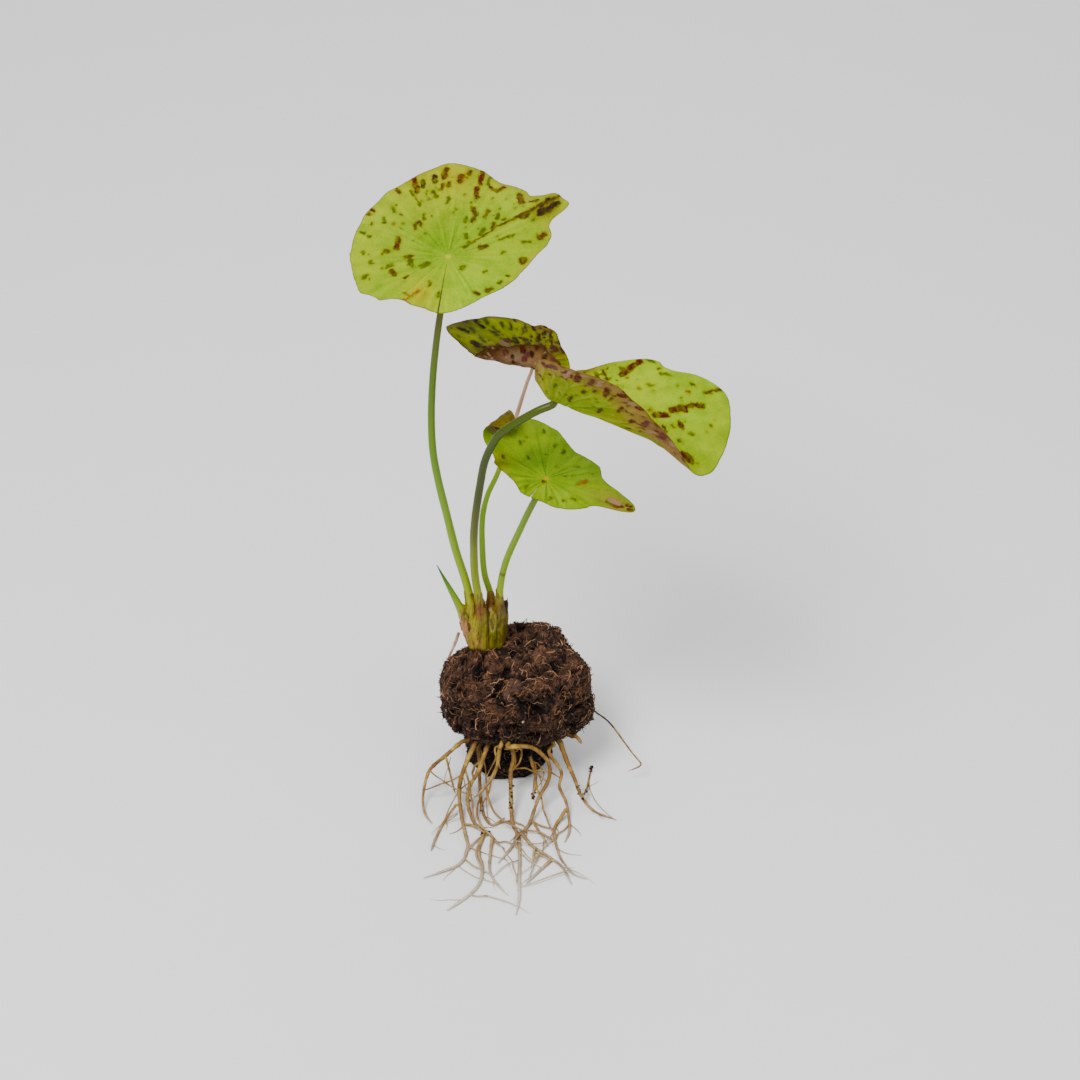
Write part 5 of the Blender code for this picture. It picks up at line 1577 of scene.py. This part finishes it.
# How far apart the ends of a crossing strand are at least and at most, and how high they are.
CROSSING_SPANS = (5, 22)
CROSSING_HIGHEST = 14
COMPANIONS = 13
FRONT_EDGE = -81.0
SIDE_ROOT_STOPS = ((0, "#8e6a50"), (0.2, "#d2ac98"), (0.7, "#cbb09c"), (1, "#7e6250"))
SIDE_ROOT_SIDES = 14


def root_routes(ball_tree):
    """The route and radii of every root, in the order in which they are laid."""
    laid = {}
    for name, points, ends, *parents in ROOTS:
        for parent in parents:
            points = against(points, ends[0], laid[parent])
        route = smooth_route(points, ROOT_STEP)
        radii = [spread(ends, share) for share in shares_along(route)]
        others = [(*sample, GAP if other in parents else ROOT_CLEARANCE)
                  for other, samples in laid.items() for sample in samples]
        route = moved_apart(route, radii, others)
        route = [pushed_clear(point, radius + GAP, ball_tree)
                 for point, radius in zip(route, radii)]
        route = lifted(route, radii, others)
        laid[name] = list(zip(route, radii))
    return laid


def eased(points):
    """Takes small kinks out of a route and keeps its ends."""
    points = np.array([tuple(p) for p in points])
    for _ in range(EASING):
        points[1:-1] = points[1:-1] * 0.5 + (points[:-2] + points[2:]) * 0.25
    return points


def distances(verts):
    """How far each point is from the ball: 0 under it and 1 at the far ends of the roots."""
    front = (-verts[:, 1] - FRONT_START) / FRONT_RUN
    back = (verts[:, 1] - BACK_START) / BACK_RUN
    return np.clip(np.maximum(front, back), 0, 1)


def root_paint(verts, shares, seed):
    """Root colours: dark as the soil in the ball's shade, ochre, then paler with the distance."""
    away = distances(verts)
    paint = colour_along(ROOT_STOPS, np.clip(0.75 * away + 0.35 * shares, 0, 1))
    for length, code, share in ROOT_STAINS:
        stain = share * smoothstep(-0.25, 0.2, soft_noise(verts, length, seed))
        paint = tinted(paint, code, stain * (1 - away))
    return paint


def make_root(name, samples, parent, others, rng):
    """One root: a fine wavering skin, ochre by the ball, pale at the tip, dark where roots meet."""
    route = eased([p for p, _ in samples])
    radii = np.array([r for _, r in samples])
    start = Vector(route[0])
    if parent:
        before = min(parent, key=lambda s: (s[0] - start).length)[0]
    else:
        before = start + (Vector(BALL_CENTRE) - start).normalized() * ROOT_SUNK
    route = [before, *map(Vector, route)]
    radii = np.concatenate([radii[:1], radii])
    fine = smooth_route(route, ROOT_POINT_STEP)
    shares = np.array(shares_along(fine))
    radii = np.interp(shares, shares_along(route), radii) * ROOT_SLIMMER
    seed = rng.uniform(0, 50)
    radii *= 1 + ROOT_SWELLING * soft_noise(shares * 60, 1.0, seed)
    radii *= np.interp(shares, (0, 0.9, 1), (1, 1, ROOT_TIP))
    verts, faces = tube_points(fine, radii, ROOT_SIDES)
    knobs = rough_noise(verts, KNOB_LENGTH, 2, seed)
    centre = per_ring(np.array([tuple(p) for p in fine]), ROOT_SIDES)
    verts = centre + (verts - centre) * (1 + KNOB_HEIGHT * knobs)[:, None]
    shares = per_ring(shares, ROOT_SIDES)
    paint = root_paint(verts, shares, seed)
    # Painted shade: the sides of a root turned from the lit way are darker, less so far from the
    # ball.
    facing = (verts - centre) @ ROOT_LIT_WAY / np.maximum(per_ring(radii, ROOT_SIDES), 0.05)
    under = UNDERSIDE_SHADE * smoothstep(0.80, 0.15, facing) * (1 - 0.7 * distances(verts))
    paint = paint * (1 - under[:, None])
    # Painted shade where another root lies close.
    meet = np.min([np.linalg.norm(centre - p, axis=1) for p in others], axis=0)
    paint = tinted(paint, "#5a3a1c", 0.45 * smoothstep(*MEETING_SHADE_REACH, meet))
    if name == "root_far_right":
        paint = tinted(paint, "#2e1f18", smoothstep(0.42, 0.30, shares))
    piece(name + "_skin", verts, faces, paint, STRAND, "root", [name])


def lie(tree, point, radius):
    """Puts a point of a strand just above the surface and out of the ball."""
    point = pushed_clear(point, radius + 0.05, tree)
    point.z = max(point.z, radius + 0.02)
    return point


def add_strand(strands, route, radii, sides, rng):
    """Adds one fine strand, with radii spread along its route."""
    fine = [Vector((p.x, max(p.y, FRONT_EDGE), p.z)) for p in smooth_route(route, STRAND_STEP)]
    shares = np.array(shares_along(fine))
    radii = np.interp(shares, np.linspace(0, 1, len(radii)), radii)
    seed = rng.uniform(0, 50)
    radii = radii * (1 + STRAND_SWELLING * soft_noise(shares * 40, 1.0, seed))
    verts, faces = tube_points(fine, radii, sides)
    strands.add(verts, faces, root_paint(verts, per_ring(shares, sides), seed))


def add_hairs(strands, samples, tree, rng):
    """Fine side roots that curl away from a root where it lies on the surface."""
    flat = [(p, r) for p, r in samples if p.z < LIES_BELOW]
    for k in range(rng.randint(3, 8), max(len(flat) - 3, 0), rng.randint(10, 17)):
        here, radius = flat[k]
        ahead = flat[min(k + 2, len(flat) - 1)][0] - here
        turn = math.atan2(ahead.y, ahead.x) + rng.choice((-1, 1)) * rng.uniform(0.4, 1.0)
        point = here.copy()
        route = [point.copy()]
        steps = rng.randint(4, 12)
        curl = rng.gauss(0, 0.10)
        for _ in range(steps):
            turn += curl + rng.gauss(0, 0.12)
            point = point + Vector((math.cos(turn), math.sin(turn), 0))
            point.z += (HAIR_HEIGHT - point.z) * 0.5
            route.append(lie(tree, point, HAIR_RADIUS))
        thick = radius * rng.uniform(0.24, 0.42)
        add_strand(strands, route, (thick, thick * 0.7, thick * 0.25), HAIR_SIDES, rng)


def add_crossings(strands, laid, tree, rng):
    """Strands that cross from root to root in front of the ball."""
    front = [(p, r, name) for name, samples in laid.items() for p, r in samples
             if p.y < -14 and not name.startswith("root_far")]
    shortest, longest = CROSSING_SPANS
    made = 0
    while made < CROSSINGS:
        (a, ra, from_name), (b, rb, to_name) = rng.choice(front), rng.choice(front)
        gap = (b - a).length
        if from_name == to_name or b.y > a.y - 2 or not shortest < gap < longest:
            continue
        if max(a.z, b.z) > CROSSING_HIGHEST:
            continue
        made += 1
        side = (b - a).cross(Vector((0, 0, 1))).normalized() * rng.gauss(0, 0.12) * gap
        radius = min(ra, rb) * rng.uniform(0.38, 0.8)
        route = []
        for t in np.linspace(0, 1, CROSSING_POINTS):
            bow = math.sin(math.pi * t)
            sway = Vector((rng.gauss(0, 0.2), rng.gauss(0, 0.2), 0.3 * bow))
            point = a.lerp(b, t) + side * bow + sway
            route.append(lie(tree, point, radius) if 0 < t < 1 else point)
        add_strand(strands, route, (radius, radius, radius * 0.8), STRAND_SIDES, rng)


def add_companion(strands, samples, tree, rng):
    """A thinner strand that winds beside a root on its way from the ball."""
    first = rng.randint(0, 3)
    last = min(len(samples) - 1, first + rng.randint(14, 34))
    phase, swing = rng.uniform(0, 6.3), rng.uniform(0.8, 2.4) * rng.choice((-1, 1))
    route = []
    radius = samples[first][1] * rng.uniform(0.28, 0.5)
    for i in range(first, last, 3):
        point, thick = samples[i]
        ahead = samples[min(i + 1, len(samples) - 1)][0] - samples[max(i - 1, 0)][0]
        side = ahead.cross(Vector((0, 0, 1))).normalized()
        t = (i - first) / max(last - first, 1)
        offset = side * (swing * math.sin(phase + 3.5 * t) + thick * (1 if swing > 0 else -1))
        route.append(lie(tree, point + offset + Vector((0, 0, 0.25)), radius))
    if len(route) > 3:
        add_strand(strands, route, (radius, radius * 0.85, radius * 0.3), STRAND_SIDES, rng)


def make_rootlets(laid, tree, rng):
    """Fine side roots, and strands that join the roots in a loose net."""
    strands = Gathered()
    for samples in laid.values():
        add_hairs(strands, samples, tree, rng)
    add_crossings(strands, laid, tree, rng)
    hanging = [s for n, s in laid.items()
               if s[0][0].z > 4 and s[0][0].y < -8 and not n.startswith("root_far")]
    for _ in range(COMPANIONS):
        add_companion(strands, rng.choice(hanging), tree, rng)
    strands.piece("rootlets", STRAND, "root")


def make_side_root(soil_tree, crown_tree):
    """The pale root that leaves the crown and lies on the ball."""
    route = smooth_route(SIDE_ROOT["route"], 1.0)
    shares = np.array(shares_along(route))
    radii = np.array([spread(SIDE_ROOT["radii"], share) for share in shares])
    route = [pushed_clear(point, radius + GAP, crown_tree) for point, radius in zip(route, radii)]
    route = [pushed_clear(point, radius, soil_tree) for point, radius in zip(route, radii)]
    radii *= np.interp(shares, (0, 0.3, 0.7, 1), (0.75, 0.95, 0.8, 0.5))
    verts, faces = tube_points(eased(route), radii, SIDE_ROOT_SIDES)
    verts = verts + KNOB_HEIGHT * rough_noise(verts, KNOB_LENGTH, 3, 3.0)[:, None]
    paint = tinted(colour_along(SIDE_ROOT_STOPS, per_ring(shares, SIDE_ROOT_SIDES)), "#7a5644",
                   0.7 * smoothstep(0.1, 0.5, soft_noise(verts, 1.5, 6.0)))
    piece("side_root_skin", verts, faces, paint, STRAND, "pale_root", ["side_root"])


# The room

FLOOR_SIZE = 8.0
FLOOR_DROP = 0.0001
CAMERA_PLACE = (0.0087, -0.7731, 0.6726)
CAMERA_AIM = (0.0087, 0.0, 0.090)
CAMERA_LENS = 100
CAMERA_SENSOR = 36
WORLD_LIGHT = 0.60
LIGHT_AIM = (0, 0, 0.1)
# The lamps: name, place, size and power.
LIGHTS = (("key", (-0.35, -0.45, 1.0), 0.45, 14.0), ("fill", (0.7, -0.5, 0.6), 0.7, 2.5),
          ("back", (0.1, 0.8, 0.9), 0.7, 4.0))


def add_aimed(name, data, place, aim):
    """Puts a lamp or a camera in its place and turns it towards its aim."""
    made = bpy.data.objects.new(name, data)
    made.location = place
    made.rotation_euler = (Vector(aim) - Vector(place)).to_track_quat("-Z", "Y").to_euler()
    bpy.context.scene.collection.objects.link(made)
    return made


def make_room():
    """A pale floor, soft light and the camera."""
    bpy.ops.mesh.primitive_plane_add(size=FLOOR_SIZE, location=(0, 0, -FLOOR_DROP))
    floor = bpy.context.object
    floor.name = "floor"
    g = Graph("floor", 0.9)
    speck = g.noise(g.place(), 40, 3)
    floor.data.materials.append(
        g.finish(g.mix(speck, (0.86, 0.86, 0.86), (0.88, 0.88, 0.88)), speck, 0.05, 0.2))

    world = bpy.data.worlds.new("soft room")
    bpy.context.scene.world = world
    world.use_nodes = True
    background = world.node_tree.nodes["Background"].inputs
    background["Color"].default_value = (1, 1, 1, 1)
    background["Strength"].default_value = WORLD_LIGHT

    for name, place, size, power in LIGHTS:
        light = bpy.data.lights.new(name, "AREA")
        light.size = size
        light.energy = power
        add_aimed(name, light, place, LIGHT_AIM)

    lens = bpy.data.cameras.new("camera")
    lens.lens = CAMERA_LENS
    lens.sensor_width = CAMERA_SENSOR
    bpy.context.scene.camera = add_aimed("camera", lens, CAMERA_PLACE, CAMERA_AIM)


STEM = stem_material()
EARTH = earth_material()
STRAND = strand_material()

make_room()
for leaf, look in LOOKS.items():
    make_blade(leaf, look)
    make_stalk(leaf)
make_shoot()
make_crown()
make_scraps()
soil_tree, soil_verts, soil_normals = make_soil()
make_fibres(soil_tree, soil_verts, soil_normals)
ball_tree = node_tree("soil_ball")
laid = root_routes(ball_tree)
make_crumbs(soil_verts, soil_normals, laid)
dice = random.Random(41)
parents = {name: parent[0] for name, _, _, *parent in ROOTS if parent}
for name, samples in laid.items():
    kin = {name, parents.get(name)} | {child for child, up in parents.items() if up == name}
    strangers = [tuple(p) for other, line in laid.items() if other not in kin
                 for p, _ in line[::2]]
    make_root(name, samples, laid.get(parents.get(name)), strangers, dice)
make_rootlets(laid, ball_tree, dice)
make_side_root(soil_tree, node_tree("crown"))
